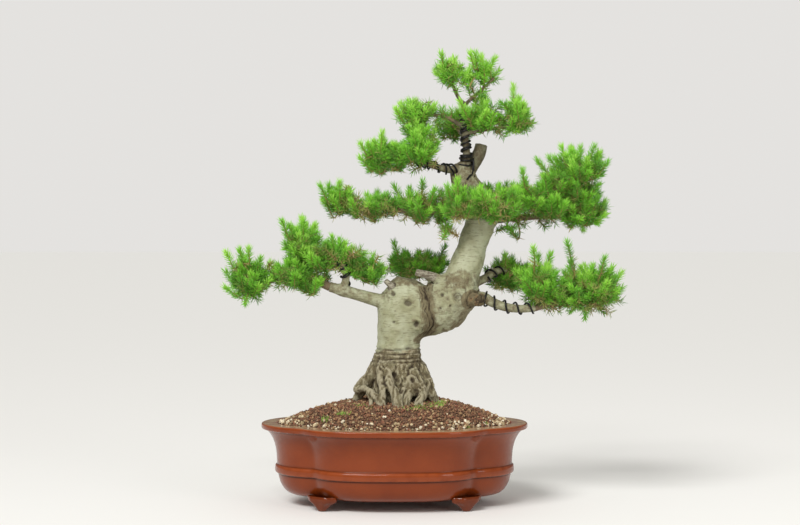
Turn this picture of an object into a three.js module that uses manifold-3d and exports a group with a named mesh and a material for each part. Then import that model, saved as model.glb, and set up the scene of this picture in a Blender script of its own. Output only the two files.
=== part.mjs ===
// A bonsai conifer in a lobed oval ceramic pot. Millimetres, +Z up, front towards -Y.
// Everything is laid out from the pot's own upright axis; the last lines centre the whole on the origin.
import * as THREE from 'three';
import * as BufferGeometryUtils from 'three/addons/utils/BufferGeometryUtils.js';
import Module from 'manifold-3d';

const wasm = await Module();
wasm.setup();

// ---- Driving dimensions -------------------------------------------------------------------------

// The rim seen from above: a broad front and back lobe, and a round lobe at each end.
const RIM = {
  broadHalfLength: 166,
  broadHalfDepth: 158,
  broadPower: 3,
  endCentre: 110,
  endRadius: 110,
  blend: 3,
};
const END_LOBE_STEPS = 4;
const BROAD_LOBE_STEPS = 4;

// Pot walls as [inset from the rim's outer edge, height], from the foot of the body up and over.
const OUTER_WALL = [
  [52, 17], [40, 22.5], [31.5, 36], [28, 50], [25.8, 53.5], [22.8, 60], [25, 70], [24.5, 90],
  [20, 110], [8, 123.5], [0, 127], [0, 134], [1, 135],
];
const INNER_WALL = [[26, 135], [28.4, 132], [34, 100], [38, 45], [56, 27]];
const DRAIN = { offset: 88, radius: 11, length: 40, sides: 12 };

const FOOT = {
  across: 116,
  deep: 84,
  turn: 0.6,
  sides: 8,
  // [height, half width along the wall, half depth across it]
  levels: [[23, 27, 14], [15.5, 25, 13], [8, 13, 10], [0, 7, 6]],
};

const GAP = 0.35;
const FINEST_EDGE = 0.03;
const SPRAY_SEED = 149;
// The soil's side as [inset, height], clear of the inner wall, and its mounded top.
const SOIL_SIDE = [[60, 27.35], [39.8, 45.5], [34.8, 100], [29.2, 131.5]];
// It is domed, and heaped a little higher behind the trunk.
const SOIL = { edgeHeight: 131.5, rise: 36, crown: 0.4, backRise: 15, grain: 1.1, rings: 4, seed: 4021 };
const ROOT_HOLE = { x: 4, y: 0, radius: 72, floor: 117 };
// The neck of the root ball, a little narrower than the hole in the soil that it stands in.
const ROOT_NECK = {
  sides: 16,
  slack: 0.985,
  levels: [[117, 0], [158, 0], [166, 5], [173, 14], [184, 25]],
};

// The woody parts as centre-line stations [x, y, z, radius].
const TRUNK = [
  [4, 0, 168, 55], [4, 0, 191, 48], [4, 0, 213, 43], [4, 0, 233, 39.5], [6, 0, 249, 37.5],
  [7, 0, 264, 35.3], [8, 0, 284, 36], [11, -2, 307, 38], [17, -2, 329, 39], [24, -2, 347, 35],
  [29, -2, 361, 24],
];
const LIMB = [
  [19, -4, 304, 30], [52, -6, 316, 39], [80, -6, 329, 42], [100, -4, 348, 35.5], [110, -2, 368, 29],
  [117, 0, 390, 26.3], [134, 4, 439, 24.5], [143, 6, 463, 24], [147, 8, 486, 22], [135, 10, 509, 20.5],
  [119, 10, 529, 19], [110, 10, 546, 15],
];
const LEADER = [
  [112, 10, 534, 15], [112, 10, 546, 14], [117, 9, 562, 9], [119.5, 8, 578, 6.5], [118, 8, 598, 5.2],
  [116, 8, 617, 4.6], [114.7, 8, 636, 4.2], [114, 8, 652, 3.8], [113.5, 8, 664, 3.4],
];
const OLD_LEADER = [[115, 16, 540, 12], [129, 25, 560, 11.5], [141, 32, 580, 11], [145, 34, 595, 10]];
const DEAD_STUB = [[82, -20, 366, 10], [60, -27, 377, 7], [35, -30, 383, 5.5]];
const DEAD_TWIG = [[6, -18, 349, 8], [-6, -24, 361, 5.5], [-15, -26, 370, 4]];
const CUT_KNOT = [[140, -6, 478, 12], [152, -20, 484, 10.5]];
const BROKEN_STUB = [[118, -22, 338, 11], [142, -40, 338, 10.5]];

// Roots and swellings at the foot of the trunk, from where they leave it down into the soil.
const ROOTS = [
  [[-18, -4, 240, 16], [-36, -6, 214, 12], [-50, -5, 194, 9], [-59, -2, 176, 6.5], [-58, 0, 158, 5]],
  [[-50, -6, 204, 7], [-61, -14, 190, 6.5], [-50, -32, 194, 5.5], [-36, -46, 186, 5.5], [-24, -57, 170, 5],
    [-20, -60, 154, 4]],
  [[-20, -30, 232, 8], [-24, -40, 213, 5.5], [-20, -49, 197, 5.5], [-20, -55, 180, 5.5],
    [-22, -58, 162, 4.5]],
  [[-8, -32, 232, 9], [-9, -42, 213, 7], [-6, -50, 199, 7.5], [2, -57, 183, 7.5], [3, -63, 164, 6.5],
    [5, -64, 150, 5]],
  [[12, -14, 226, 22], [26, -27, 202, 21], [36, -28, 186, 14]],
  [[40, -34, 200, 9], [45, -42, 185, 8], [38, -52, 172, 6], [30, -58, 158, 4.5]],
  [[24, -40, 192, 8], [20, -54, 176, 6.5], [17, -62, 160, 5]],
  [[40, -2, 224, 14], [52, -12, 200, 12.5], [58, -14, 186, 10], [63, -13, 170, 7], [64, -12, 158, 5]],
  [[26, 16, 232, 12], [44, 24, 204, 10.5], [55, 30, 182, 9], [56, 31, 160, 6]],
  [[10, 20, 234, 13], [22, 40, 204, 11], [30, 52, 180, 9], [30, 55, 158, 6]],
  [[-4, 22, 230, 11], [-6, 44, 200, 9.5], [-4, 55, 178, 8], [-2, 62, 158, 5.5]],
  [[-16, 18, 232, 11], [-32, 32, 202, 10], [-40, 42, 180, 8.5], [-41, 43, 158, 5.5]],
];

// Each branch: its whole route, and how many of its stations are bare wood of the tree itself.
// The stations after those carry needles.
const BRANCHES = {
  left: {
    bare: 5,
    route: [
      [3, -8, 330, 14], [-24, -14, 336, 11.5], [-53, -18, 344, 10], [-81, -20, 352, 9],
      [-106, -20, 359, 8], [-129, -18, 369, 7], [-155, -15, 375, 5.8], [-184, -12, 372, 4.8],
      [-208, -10, 368, 4], [-235, -8, 370, 3.2], [-255, -8, 377, 2.5],
    ],
  },
  left_crown: {
    bare: 3,
    route: [
      [-85, -20, 352, 7], [-79, -28, 377, 6], [-86, -32, 397, 5.2], [-102, -30, 410, 4.4],
      [-122, -26, 418, 3.6], [-145, -22, 425, 2.8],
    ],
  },
  right_low: {
    bare: 6,
    route: [
      [116, -6, 337, 12], [144, -13, 342, 9], [160, -17, 334, 8], [182, -19, 326, 7.2],
      [206, -19, 323, 6.6], [231, -16, 324, 6], [256, -14, 332, 5.2], [283, -12, 342, 4.4],
      [311, -10, 349, 3.7], [339, -8, 357, 3.1], [362, -8, 368, 2.5],
    ],
  },
  right_back: {
    bare: 4,
    route: [
      [118, 6, 360, 9], [149, 20, 371, 7], [166, 34, 382, 6], [187, 46, 386, 5], [208, 54, 382, 4],
      [229, 58, 385, 3],
    ],
  },
  back_low: {
    bare: 2,
    route: [[80, 16, 352, 12], [60, 50, 374, 8], [40, 68, 383, 6], [16, 78, 388, 4.5], [-8, 82, 393, 3.2]],
  },
  mid_left: {
    bare: 3,
    route: [
      [141, 0, 479, 12], [118, -14, 484, 9], [91, -22, 485, 8], [58, -22, 484, 7], [22, -18, 485, 6],
      [-14, -14, 487, 5], [-50, -12, 490, 4], [-80, -10, 495, 3.2], [-103, -8, 504, 2.5],
    ],
  },
  front_left: {
    bare: 2,
    route: [[141, -6, 488, 10], [132, -36, 493, 7], [116, -54, 495, 5], [98, -64, 498, 3.4]],
  },
  front_right: {
    bare: 2,
    route: [[150, -6, 492, 10], [164, -34, 494, 7], [179, -48, 495, 5], [194, -58, 496, 3.4]],
  },
  mid_right: {
    bare: 2,
    route: [
      [148, 8, 477, 13], [175, 6, 483, 10], [201, 2, 489, 8.5], [227, -2, 497, 7], [252, -4, 510, 6],
      [273, -5, 525, 5], [293, -5, 540, 4], [313, -5, 555, 3],
    ],
  },
  mid_right_low: {
    bare: 2,
    route: [
      [150, 14, 470, 9], [184, 26, 472, 7], [222, 28, 474, 6.2], [250, 26, 477, 5.2],
      [284, 24, 481, 4.2], [317, 20, 488, 3.2],
    ],
  },
  mid_back: {
    bare: 2,
    route: [[144, 12, 490, 11], [151, 42, 499, 8], [147, 68, 507, 5.5], [134, 90, 513, 3.6]],
  },
  upper_left: {
    bare: 3,
    route: [
      [112, 8, 556, 7.5], [90, -6, 552, 6], [70, -12, 556, 5.2], [45, -14, 564, 4.6],
      [17, -12, 568, 4], [-11, -10, 570, 3.3], [-34, -8, 575, 2.6],
    ],
  },
  upper_left_top: {
    bare: 2,
    route: [
      [116, 8, 622, 3.8], [97, -3, 633, 3.4], [75, -6, 641, 3.1], [52, -6, 641, 2.8],
      [29, -4, 642, 2.5], [12, -4, 647, 2.2],
    ],
  },
  upper_right: {
    bare: 2,
    route: [
      [116.5, 8, 612, 4], [140, 5, 617, 3.7], [161, 2, 620, 3.4], [184, 0, 623, 3.1],
      [204, -2, 628, 2.7], [219, -2, 634, 2.2],
    ],
  },
  upper_back: {
    bare: 2,
    route: [[118, 9, 602, 4.2], [111, 40, 616, 3.8], [104, 60, 625, 3.3], [96, 74, 633, 2.6]],
  },
  apex_left: {
    bare: 2,
    route: [[114, 8, 659, 3.3], [103, 6, 677, 3], [95, 4, 696, 2.7], [86, 2, 717, 2.2]],
  },
  apex_right: {
    bare: 2,
    route: [[114, 8, 657, 3.3], [125, 6, 668, 3], [138, 4, 679, 2.8], [152, 4, 692, 2.5], [165, 4, 704, 2.2]],
  },
};

// What grows on each branch. The clouds give centre x, y, z, then half width, depth and height.
// The tips are the outermost needle points, as x and z, of the shoots that make the outline.
const FOLIAGE = {
  left: {
    clouds: [[-237, -8, 377, 45, 46, 51], [-163, -5, 390, 40, 52, 40]],
    tips: [
      [-276, 423], [-256, 428], [-237, 430], [-218, 413], [-203, 405],
      [-286, 390], [-283, 363], [-267, 341], [-245, 325], [-219, 337],
    ],
  },
  left_crown: {
    clouds: [[-153, -8, 436, 41, 50, 45], [-89, -35, 413, 49, 45, 36], [-40, -14, 392, 33, 36, 28]],
    tips: [
      [-186, 474], [-174, 468], [-155, 480], [-147, 476], [-134, 465],
      [-122, 446], [-104, 449], [-93, 450], [-80, 439], [-66, 431],
      [-47, 428], [-35, 418],
    ],
  },
  right_low: {
    clouds: [[236, -12, 368, 49, 55, 53], [322, -8, 360, 61, 55, 59]],
    tips: [
      [225, 431], [240, 418], [260, 421], [279, 440], [284, 410],
      [318, 400], [345, 414], [365, 398], [382, 388], [382, 363],
      [374, 341], [345, 319], [316, 298], [288, 311],
    ],
  },
  right_back: {
    clouds: [[192, 60, 382, 46, 38, 44]],
    tips: [[184, 419], [197, 401]],
  },
  back_low: {
    clouds: [[43, 78, 399, 61, 42, 34]],
    tips: [[-3, 439], [15, 424], [40, 421], [63, 419], [88, 433]],
  },
  mid_left: {
    clouds: [[39, -15, 497, 44, 48, 33], [-90, -8, 509, 38, 40, 30], [-32, -12, 497, 33, 42, 30]],
    tips: [
      [-124, 532], [-110, 534], [-89, 538], [-69, 525], [-48, 518],
      [-28, 523], [-3, 533], [24, 529], [47, 539], [68, 525],
    ],
  },
  front_left: {
    clouds: [[106, -58, 498, 45, 32, 39]],
    tips: [[101, 540], [83, 530]],
  },
  front_right: {
    clouds: [[168, -52, 494, 42, 32, 36]],
    tips: [[136, 524], [171, 532]],
  },
  mid_right: {
    clouds: [[227, -3, 514, 50, 48, 41], [303, -5, 560, 53, 46, 43]],
    tips: [
      [207, 558], [232, 575], [250, 579], [272, 597], [293, 597],
      [311, 598], [330, 597], [342, 588], [353, 570], [349, 547],
    ],
  },
  mid_right_low: {
    clouds: [[309, 16, 489, 50, 42, 42]],
    tips: [
      [337, 511], [355, 507], [354, 483], [342, 459], [317, 446],
      [294, 453],
    ],
  },
  mid_back: {
    clouds: [[146, 92, 511, 82, 38, 34]],
    tips: [],
  },
  upper_left: {
    clouds: [[-26, -8, 578, 36, 38, 40], [42, -12, 592, 43, 44, 43]],
    tips: [
      [-58, 600], [-46, 601], [-33, 604], [-19, 619], [-61, 577],
      [-47, 548], [-17, 540],
    ],
  },
  upper_left_top: {
    clouds: [[37, -4, 651, 43, 34, 25]],
    tips: [[-1, 656], [8, 670], [20, 673], [34, 675], [70, 665]],
  },
  upper_right: {
    clouds: [[151, 2, 645, 43, 36, 41], [198, -2, 648, 36, 34, 50]],
    tips: [
      [103, 670], [131, 676], [142, 677], [197, 699], [207, 678],
      [223, 636], [235, 635],
    ],
  },
  upper_back: {
    clouds: [[104, 66, 636, 51, 28, 41]],
    tips: [],
  },
  apex_left: {
    clouds: [[87, 3, 722, 31, 28, 31]],
    tips: [[75, 750], [89, 737], [102, 735], [62, 718]],
  },
  apex_right: {
    clouds: [[142, 4, 723, 33, 28, 30]],
    tips: [[122, 750], [131, 751], [143, 750], [170, 744], [178, 724]],
  },
};

const SHOOT = {
  areaEach: 680,
  tipSpacing: 27,
  budSpacing: 7,
  depthShare: 0.85,
  lowest: 1.5,
  fullness: 0.9,
  azimuthPlay: 0.6,
  shortest: 24,
  longest: 36,
  baseRadius: 1.9,
  tipRadius: 1.5,
  sideShare: 0.3,
  needleReach: 8,
  needles: 4,
  firstNeedle: 0.25,
  needleLength: 14,
  needleRadius: 0.6,
  needleSpread: 0.95,
  needleClosing: 0.35,
};
// How a shoot's way out of its cloud turns into the way it grows: less aside, more upwards, and
// hanging only at the cloud's underside.
const GROWTH = { aside: 0.62, up: 0.7, upGain: 0.35, downGain: 1.4 };
// A spray's branch starts a little slimmer than the wood it carries on from.
const SPRAY_START = { radiusShare: 0.9, length: 4 };
const CLEARANCE = 0.5;

// Training wire wound on a branch: where it starts and ends along the branch's stations, and its turns.
const WIRE = { radius: 1.7, stepsPerTurn: 9, looseness: 1.08 };
const WIRES = {
  wire_right_low: { on: 'right_low', from: 1.2, to: 4.9, turns: 4.5, phase: 0 },
  wire_right_back: { on: 'right_back', from: 1.1, to: 2.9, turns: 2.5, phase: 1.2 },
  wire_left_crown: { on: 'left_crown', from: 0.9, to: 1.95, turns: 1.6, phase: 2 },
  wire_leader: { on: 'leader', from: 2.9, to: 3.95, turns: 2, phase: -1.57 },
  wire_upper_left: { on: 'upper_left', from: 0.9, to: 1.95, turns: 1.6, phase: 0.5 },
};

// ---- Colours ------------------------------------------------------------------------------------

const GLAZE = new THREE.MeshStandardMaterial({ color: 0x84442b, roughness: 0.3, metalness: 0 });
const GRANULES = new THREE.MeshStandardMaterial({ color: 0x7a4f3d, roughness: 0.95, metalness: 0 });
const BARK = new THREE.MeshStandardMaterial({ color: 0x9c9779, roughness: 0.85, metalness: 0 });
const NEEDLES = new THREE.MeshStandardMaterial({ color: 0x5da832, roughness: 0.6, metalness: 0 });
const BLACK_WIRE = new THREE.MeshStandardMaterial({ color: 0x1b1a1a, roughness: 0.45, metalness: 0.6 });

// ---- Solids -------------------------------------------------------------------------------------

// A repeatable stream of numbers from 0 to 1.
class Dice {
  constructor(seed) {
    this.state = seed;
  }

  next() {
    this.state = (this.state * 16807) % 2147483647;
    return this.state / 2147483647;
  }
}

function toSolid(geometry) {
  const bare = geometry.clone();
  bare.deleteAttribute('normal');
  bare.deleteAttribute('uv');
  const merged = BufferGeometryUtils.mergeVertices(bare, 1e-4);
  const corners = merged.index.array;
  const kept = [];
  for (let i = 0; i < corners.length; i += 3) {
    const [a, b, c] = [corners[i], corners[i + 1], corners[i + 2]];
    if (a !== b && b !== c && c !== a) kept.push(a, b, c);
  }
  const vertProperties = new Float32Array(merged.attributes.position.array);
  return new wasm.Manifold(new wasm.Mesh({ numProp: 3, vertProperties, triVerts: new Uint32Array(kept) }));
}

function toGeometry(solid) {
  const { numProp, vertProperties, triVerts } = solid.getMesh();
  const places = new Float32Array((vertProperties.length / numProp) * 3);
  for (let i = 0; i < places.length / 3; i += 1) {
    places.set(vertProperties.subarray(i * numProp, i * numProp + 3), i * 3);
  }
  const geometry = new THREE.BufferGeometry();
  geometry.setAttribute('position', new THREE.BufferAttribute(places, 3));
  geometry.setIndex(new THREE.BufferAttribute(new Uint32Array(triVerts), 1));
  return geometry;
}

// Joins parts that grow from one another. A hollow that they shut between them is filled,
// and edges too short to see are closed up.
function fuse(parts) {
  const shells = wasm.Manifold.union(parts).simplify(FINEST_EDGE).decompose();
  return shells.reduce((best, shell) => (shell.volume() > best.volume() ? shell : best));
}

function piece(name, solid, material) {
  const geometry = toGeometry(solid);
  geometry.computeVertexNormals();
  const mesh = new THREE.Mesh(geometry, material);
  mesh.name = name;
  return mesh;
}

const point = ([x, y, z]) => new THREE.Vector3(x, y, z);
const stations = (rows) => rows.map((row) => ({ at: point(row), radius: row[3] }));

// A direction along the line at each of its points, with a side direction that turns as little as it can.
function carriedFrames(points, roll = 0) {
  const frames = [];
  let side = null;
  points.forEach((at, i) => {
    const before = points[Math.max(i - 1, 0)];
    const after = points[Math.min(i + 1, points.length - 1)];
    const along = after.clone().sub(before).normalize();
    if (!side) {
      side = Math.abs(along.z) > 0.9 ? new THREE.Vector3(1, 0, 0) : new THREE.Vector3(0, 0, 1);
      side.applyAxisAngle(along, roll);
    }
    side = side.clone().addScaledVector(along, -side.dot(along)).normalize();
    frames.push({ along, side, other: new THREE.Vector3().crossVectors(along, side) });
  });
  return frames;
}

// A closed tapered tube through the stations.
function sweep(line, sides, roll = 0) {
  const frames = carriedFrames(line.map((station) => station.at), roll);
  const geometry = new THREE.CylinderGeometry(1, 1, 1, sides, line.length - 1);
  const position = geometry.attributes.position;
  for (let i = 0; i < position.count; i += 1) {
    const ring = Math.round((0.5 - position.getY(i)) * (line.length - 1));
    const { at, radius } = line[ring];
    const place = at.clone()
      .addScaledVector(frames[ring].side, position.getX(i) * radius)
      .addScaledVector(frames[ring].other, position.getZ(i) * radius);
    position.setXYZ(i, place.x, place.y, place.z);
  }
  return toSolid(geometry);
}

// ---- Pot ----------------------------------------------------------------------------------------

const endLobe = (angle, inset) => {
  const radius = RIM.endRadius - inset;
  const rest = radius ** 2 - (RIM.endCentre * Math.sin(angle)) ** 2;
  return rest < 0 ? 0 : RIM.endCentre * Math.abs(Math.cos(angle)) + Math.sqrt(rest);
};

const broadLobe = (angle, inset) => {
  const across = Math.abs(Math.cos(angle)) / (RIM.broadHalfLength - inset);
  const deep = Math.abs(Math.sin(angle)) / (RIM.broadHalfDepth - inset);
  return (across ** RIM.broadPower + deep ** RIM.broadPower) ** (-1 / RIM.broadPower);
};

// How far the pot's outline lies from its axis, with the notch between two lobes filled a little.
function outlineRadius(angle, inset) {
  const ends = endLobe(angle, inset);
  const broad = broadLobe(angle, inset);
  return (ends + broad + Math.hypot(ends - broad, RIM.blend)) / 2;
}

// The direction of the notch in the first quadrant.
function notchAngle(inset) {
  let low = 0.2;
  let high = 1.2;
  for (let i = 0; i < 40; i += 1) {
    const middle = (low + high) / 2;
    if (endLobe(middle, inset) > broadLobe(middle, inset)) low = middle;
    else high = middle;
  }
  return low;
}

// Angles all round, always with one on each notch.
function outlineAngles(inset) {
  const notch = notchAngle(inset);
  const quarter = [];
  for (let i = 0; i < END_LOBE_STEPS; i += 1) quarter.push((notch * i) / END_LOBE_STEPS);
  for (let i = 0; i < BROAD_LOBE_STEPS; i += 1) {
    quarter.push(notch + ((Math.PI / 2 - notch) * i) / BROAD_LOBE_STEPS);
  }
  const mirrored = quarter.slice(1).reverse().map((angle) => Math.PI - angle);
  const half = [...quarter, Math.PI / 2, ...mirrored];
  return [...half, ...half.map((angle) => angle + Math.PI)];
}

const ROUND = 4 * (END_LOBE_STEPS + BROAD_LOBE_STEPS);

// A closed body from rings round the pot's axis. Each ring gives its place for step i of ROUND;
// the first and the last ring are single points on the axis.
function ringed(rings) {
  const profile = rings.map((ring, i) => new THREE.Vector2(ring.centre ? 0 : 1, i));
  const geometry = new THREE.LatheGeometry(profile, ROUND);
  const position = geometry.attributes.position;
  for (let step = 0; step <= ROUND; step += 1) {
    rings.forEach((ring, i) => {
      const at = ring.centre ?? ring.place(step % ROUND);
      position.setXYZ(step * rings.length + i, at.x, at.y, at.z);
    });
  }
  return toSolid(geometry);
}

function wallRing(inset, height) {
  const angles = outlineAngles(inset);
  return {
    place: (step) => {
      const radius = outlineRadius(angles[step], inset);
      return new THREE.Vector3(radius * Math.cos(angles[step]), radius * Math.sin(angles[step]), height);
    },
  };
}

// A bracket foot under one of the four notches, narrowing down to a small flat sole.
function foot(signX, signY) {
  const levels = FOOT.levels;
  const geometry = new THREE.CylinderGeometry(1, 1, 1, FOOT.sides, levels.length - 1);
  const position = geometry.attributes.position;
  for (let i = 0; i < position.count; i += 1) {
    const [height, halfWidth, halfDepth] = levels[Math.round((0.5 - position.getY(i)) * (levels.length - 1))];
    position.setXYZ(i, position.getX(i) * halfWidth, -position.getZ(i) * halfDepth, height);
  }
  geometry.rotateZ(-signX * signY * FOOT.turn);
  geometry.translate(signX * FOOT.across, signY * FOOT.deep, 0);
  return toSolid(geometry);
}

function drain(signX) {
  const geometry = new THREE.CylinderGeometry(DRAIN.radius, DRAIN.radius, DRAIN.length, DRAIN.sides);
  geometry.rotateX(Math.PI / 2);
  geometry.translate(signX * DRAIN.offset, 0, DRAIN.length / 2);
  return toSolid(geometry);
}

function makePot() {
  const under = { centre: new THREE.Vector3(0, 0, OUTER_WALL[0][1]) };
  const floor = { centre: new THREE.Vector3(0, 0, INNER_WALL.at(-1)[1]) };
  const walls = [...OUTER_WALL, ...INNER_WALL].map(([inset, height]) => wallRing(inset, height));
  let solid = ringed([under, ...walls, floor]);
  for (const signX of [-1, 1]) {
    for (const signY of [-1, 1]) solid = solid.add(foot(signX, signY));
    solid = solid.subtract(drain(signX));
  }
  return solid;
}

// ---- Soil ---------------------------------------------------------------------------------------

// The soil's height at depth y, the given share of the way from the root hole to the wall.
function moundHeight(share, y) {
  const dome = 1 - (SOIL.crown + (1 - SOIL.crown) * share) ** 2;
  const heap = ((1 + y / RIM.broadHalfDepth) / 2) * (1 - share ** 2);
  return SOIL.edgeHeight + SOIL.rise * dome + SOIL.backRise * heap;
}

function holeRing(height = null) {
  const angles = outlineAngles(INNER_WALL[0][0]);
  return {
    place: (step) => {
      const x = ROOT_HOLE.x + ROOT_HOLE.radius * Math.cos(angles[step]);
      const y = ROOT_HOLE.y + ROOT_HOLE.radius * Math.sin(angles[step]);
      return new THREE.Vector3(x, y, height ?? moundHeight(0, y));
    },
  };
}

function moundRing(share, dice) {
  const inner = holeRing();
  const outer = wallRing(SOIL_SIDE.at(-1)[0], 0);
  return {
    place: (step) => {
      const at = inner.place(step).lerp(outer.place(step), share);
      at.z = moundHeight(share, at.y) + (step === 0 ? 0 : (dice.next() - 0.5) * 2 * SOIL.grain);
      return at;
    },
  };
}

function makeSoil() {
  const dice = new Dice(SOIL.seed);
  const mound = [];
  for (let i = SOIL.rings; i > 0; i -= 1) mound.push(moundRing(i / (SOIL.rings + 1), dice));
  return ringed([
    { centre: new THREE.Vector3(0, 0, SOIL_SIDE[0][1]) },
    ...SOIL_SIDE.map(([inset, height]) => wallRing(inset, height)),
    ...mound,
    holeRing(),
    holeRing(ROOT_HOLE.floor),
    { centre: new THREE.Vector3(ROOT_HOLE.x, ROOT_HOLE.y, ROOT_HOLE.floor) },
  ]);
}

// ---- Tree ---------------------------------------------------------------------------------------

// The root ball's neck, from the floor of its hole up to where the surface roots cover it.
function rootNeck() {
  const widest = ROOT_HOLE.radius * ROOT_NECK.slack - GAP;
  const levels = ROOT_NECK.levels.map(([height, inset]) => new THREE.Vector2(widest - inset, height));
  levels[0].y += GAP;
  const profile = [new THREE.Vector2(0, levels[0].y), ...levels, new THREE.Vector2(0, levels.at(-1).y)];
  const geometry = new THREE.LatheGeometry(profile, ROOT_NECK.sides);
  geometry.rotateX(Math.PI / 2);
  geometry.translate(ROOT_HOLE.x, ROOT_HOLE.y, 0);
  return toSolid(geometry);
}

// Where the wood of one branch stops and its spray starts, a hair's breadth further on.
function splitBranch({ route, bare }) {
  const line = stations(route);
  const wood = line.slice(0, bare);
  const last = wood.at(-1);
  const frame = carriedFrames(wood.map((station) => station.at)).at(-1);
  const radius = last.radius * SPRAY_START.radiusShare;
  const start = { at: last.at.clone().addScaledVector(frame.along, GAP), radius };
  const lead = { at: start.at.clone().addScaledVector(frame.along, SPRAY_START.length), radius };
  return { wood, needled: [start, lead, ...line.slice(bare)] };
}

function makeTrunk() {
  const parts = [rootNeck(), sweep(stations(TRUNK), 11), sweep(stations(LIMB), 10)];
  for (const rows of ROOTS) parts.push(sweep(stations(rows), 6));
  for (const rows of [LEADER, OLD_LEADER, DEAD_STUB, DEAD_TWIG, CUT_KNOT, BROKEN_STUB]) {
    parts.push(sweep(stations(rows), 6));
  }
  for (const branch of Object.values(BRANCHES)) parts.push(sweep(splitBranch(branch).wood, 6));
  return fuse(parts);
}

// ---- Clearances ---------------------------------------------------------------------------------

// The shortest distance between two straight stretches.
function stretchDistance(a, b, c, d) {
  const ab = b.clone().sub(a);
  const cd = d.clone().sub(c);
  const ca = a.clone().sub(c);
  const [aa, bb, cc] = [ab.dot(ab), ab.dot(cd), cd.dot(cd)];
  const [dd, ee] = [ab.dot(ca), cd.dot(ca)];
  const clamp = (value) => Math.min(Math.max(value, 0), 1);
  const across = aa * cc - bb * bb;
  let s = across > 1e-9 ? clamp((bb * ee - cc * dd) / across) : 0;
  let t = (bb * s + ee) / cc;
  if (t < 0 || t > 1) {
    t = clamp(t);
    s = clamp((bb * t - dd) / aa);
  }
  return a.clone().addScaledVector(ab, s).distanceTo(c.clone().addScaledVector(cd, t));
}

// Every stretch of wood, wire, twig and needle placed so far, so that what comes later stays clear.
const placed = [];

function claim(owner, line) {
  for (let i = 0; i + 1 < line.length; i += 1) {
    const radius = Math.max(line[i].radius, line[i + 1].radius);
    placed.push({ owner, a: line[i].at, b: line[i + 1].at, radius });
  }
}

function isClear(owner, line) {
  for (let i = 0; i + 1 < line.length; i += 1) {
    const radius = Math.max(line[i].radius, line[i + 1].radius) + CLEARANCE;
    for (const other of placed) {
      if (other.owner === owner) continue;
      const apart = stretchDistance(line[i].at, line[i + 1].at, other.a, other.b);
      if (apart < radius + other.radius) return false;
    }
  }
  return true;
}

// ---- Wire ---------------------------------------------------------------------------------------

function stationAt(line, share) {
  const i = Math.min(Math.floor(share), line.length - 2);
  const { at, radius } = line[i];
  return {
    at: at.clone().lerp(line[i + 1].at, share - i),
    radius: radius + (line[i + 1].radius - radius) * (share - i),
  };
}

function wireLine({ on, from, to, turns, phase }) {
  const host = stations(on === 'leader' ? LEADER : BRANCHES[on].route);
  const count = Math.round(turns * WIRE.stepsPerTurn);
  const spine = [];
  for (let i = 0; i <= count; i += 1) spine.push(stationAt(host, from + ((to - from) * i) / count));
  const frames = carriedFrames(spine.map((station) => station.at));
  return spine.map(({ at, radius }, i) => {
    const angle = phase + (i * 2 * Math.PI) / WIRE.stepsPerTurn;
    const reach = (radius + GAP + WIRE.radius) * WIRE.looseness;
    return {
      at: at.clone()
        .addScaledVector(frames[i].side, reach * Math.cos(angle))
        .addScaledVector(frames[i].other, reach * Math.sin(angle)),
      radius: WIRE.radius,
    };
  });
}

// ---- Sprays -------------------------------------------------------------------------------------

const GOLDEN_TURN = Math.PI * (3 - Math.sqrt(5));

const upright = ({ x, y, z }) => new THREE.Vector3(
  x * GROWTH.aside,
  y * GROWTH.aside,
  GROWTH.up + (z > 0 ? GROWTH.upGain : GROWTH.downGain) * z,
).normalize();

function shoot(end, grows, dice) {
  const length = SHOOT.shortest + (SHOOT.longest - SHOOT.shortest) * dice.next();
  const tip = end.clone().addScaledVector(grows, -SHOOT.needleReach);
  return { tip, grows, base: tip.clone().addScaledVector(grows, -length), roll: dice.next() * 2 * Math.PI };
}

// The shoots that make the outline, at any depth in their cloud, each leaning away from its middle.
function outlineShoots({ clouds, tips }, dice) {
  return tips.map(([x, z]) => {
    const away = (cloud) => Math.hypot((x - cloud[0]) / cloud[3], (z - cloud[2]) / cloud[5]);
    const cloud = clouds.reduce((best, other) => (away(other) < away(best) ? other : best));
    const share = (2 * dice.next() - 1) * SHOOT.depthShare;
    const out = new THREE.Vector3((x - cloud[0]) / cloud[3], share, (z - cloud[2]) / cloud[5]).normalize();
    return shoot(new THREE.Vector3(x, cloud[1] + share * cloud[4], z), upright(out), dice);
  });
}

// The shoots between them, spread evenly over a cloud.
function cloudShoots([x, y, z, wide, deep, high], dice) {
  const mean = (wide + deep + high) / 3;
  const count = Math.round((mean * mean) / SHOOT.areaEach);
  const shoots = [];
  for (let i = 0; i < count; i += 1) {
    const up = 1 - (SHOOT.lowest * (i + 0.5)) / count;
    const flat = Math.sqrt(1 - up * up);
    const azimuth = i * GOLDEN_TURN + dice.next() * SHOOT.azimuthPlay;
    const out = new THREE.Vector3(flat * Math.cos(azimuth), flat * Math.sin(azimuth), up);
    const share = SHOOT.fullness + (1 - SHOOT.fullness) * dice.next();
    const end = new THREE.Vector3(out.x * wide, out.y * deep, out.z * high).multiplyScalar(share);
    end.add(new THREE.Vector3(x, y, z));
    shoots.push(shoot(end, upright(out), dice));
  }
  return shoots;
}

function shootsOf(foliage, dice) {
  const shoots = outlineShoots(foliage, dice);
  for (const cloud of foliage.clouds) {
    for (const extra of cloudShoots(cloud, dice)) {
      if (shoots.every((other) => other.tip.distanceTo(extra.tip) > SHOOT.tipSpacing)) shoots.push(extra);
    }
  }
  return shoots;
}

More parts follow.
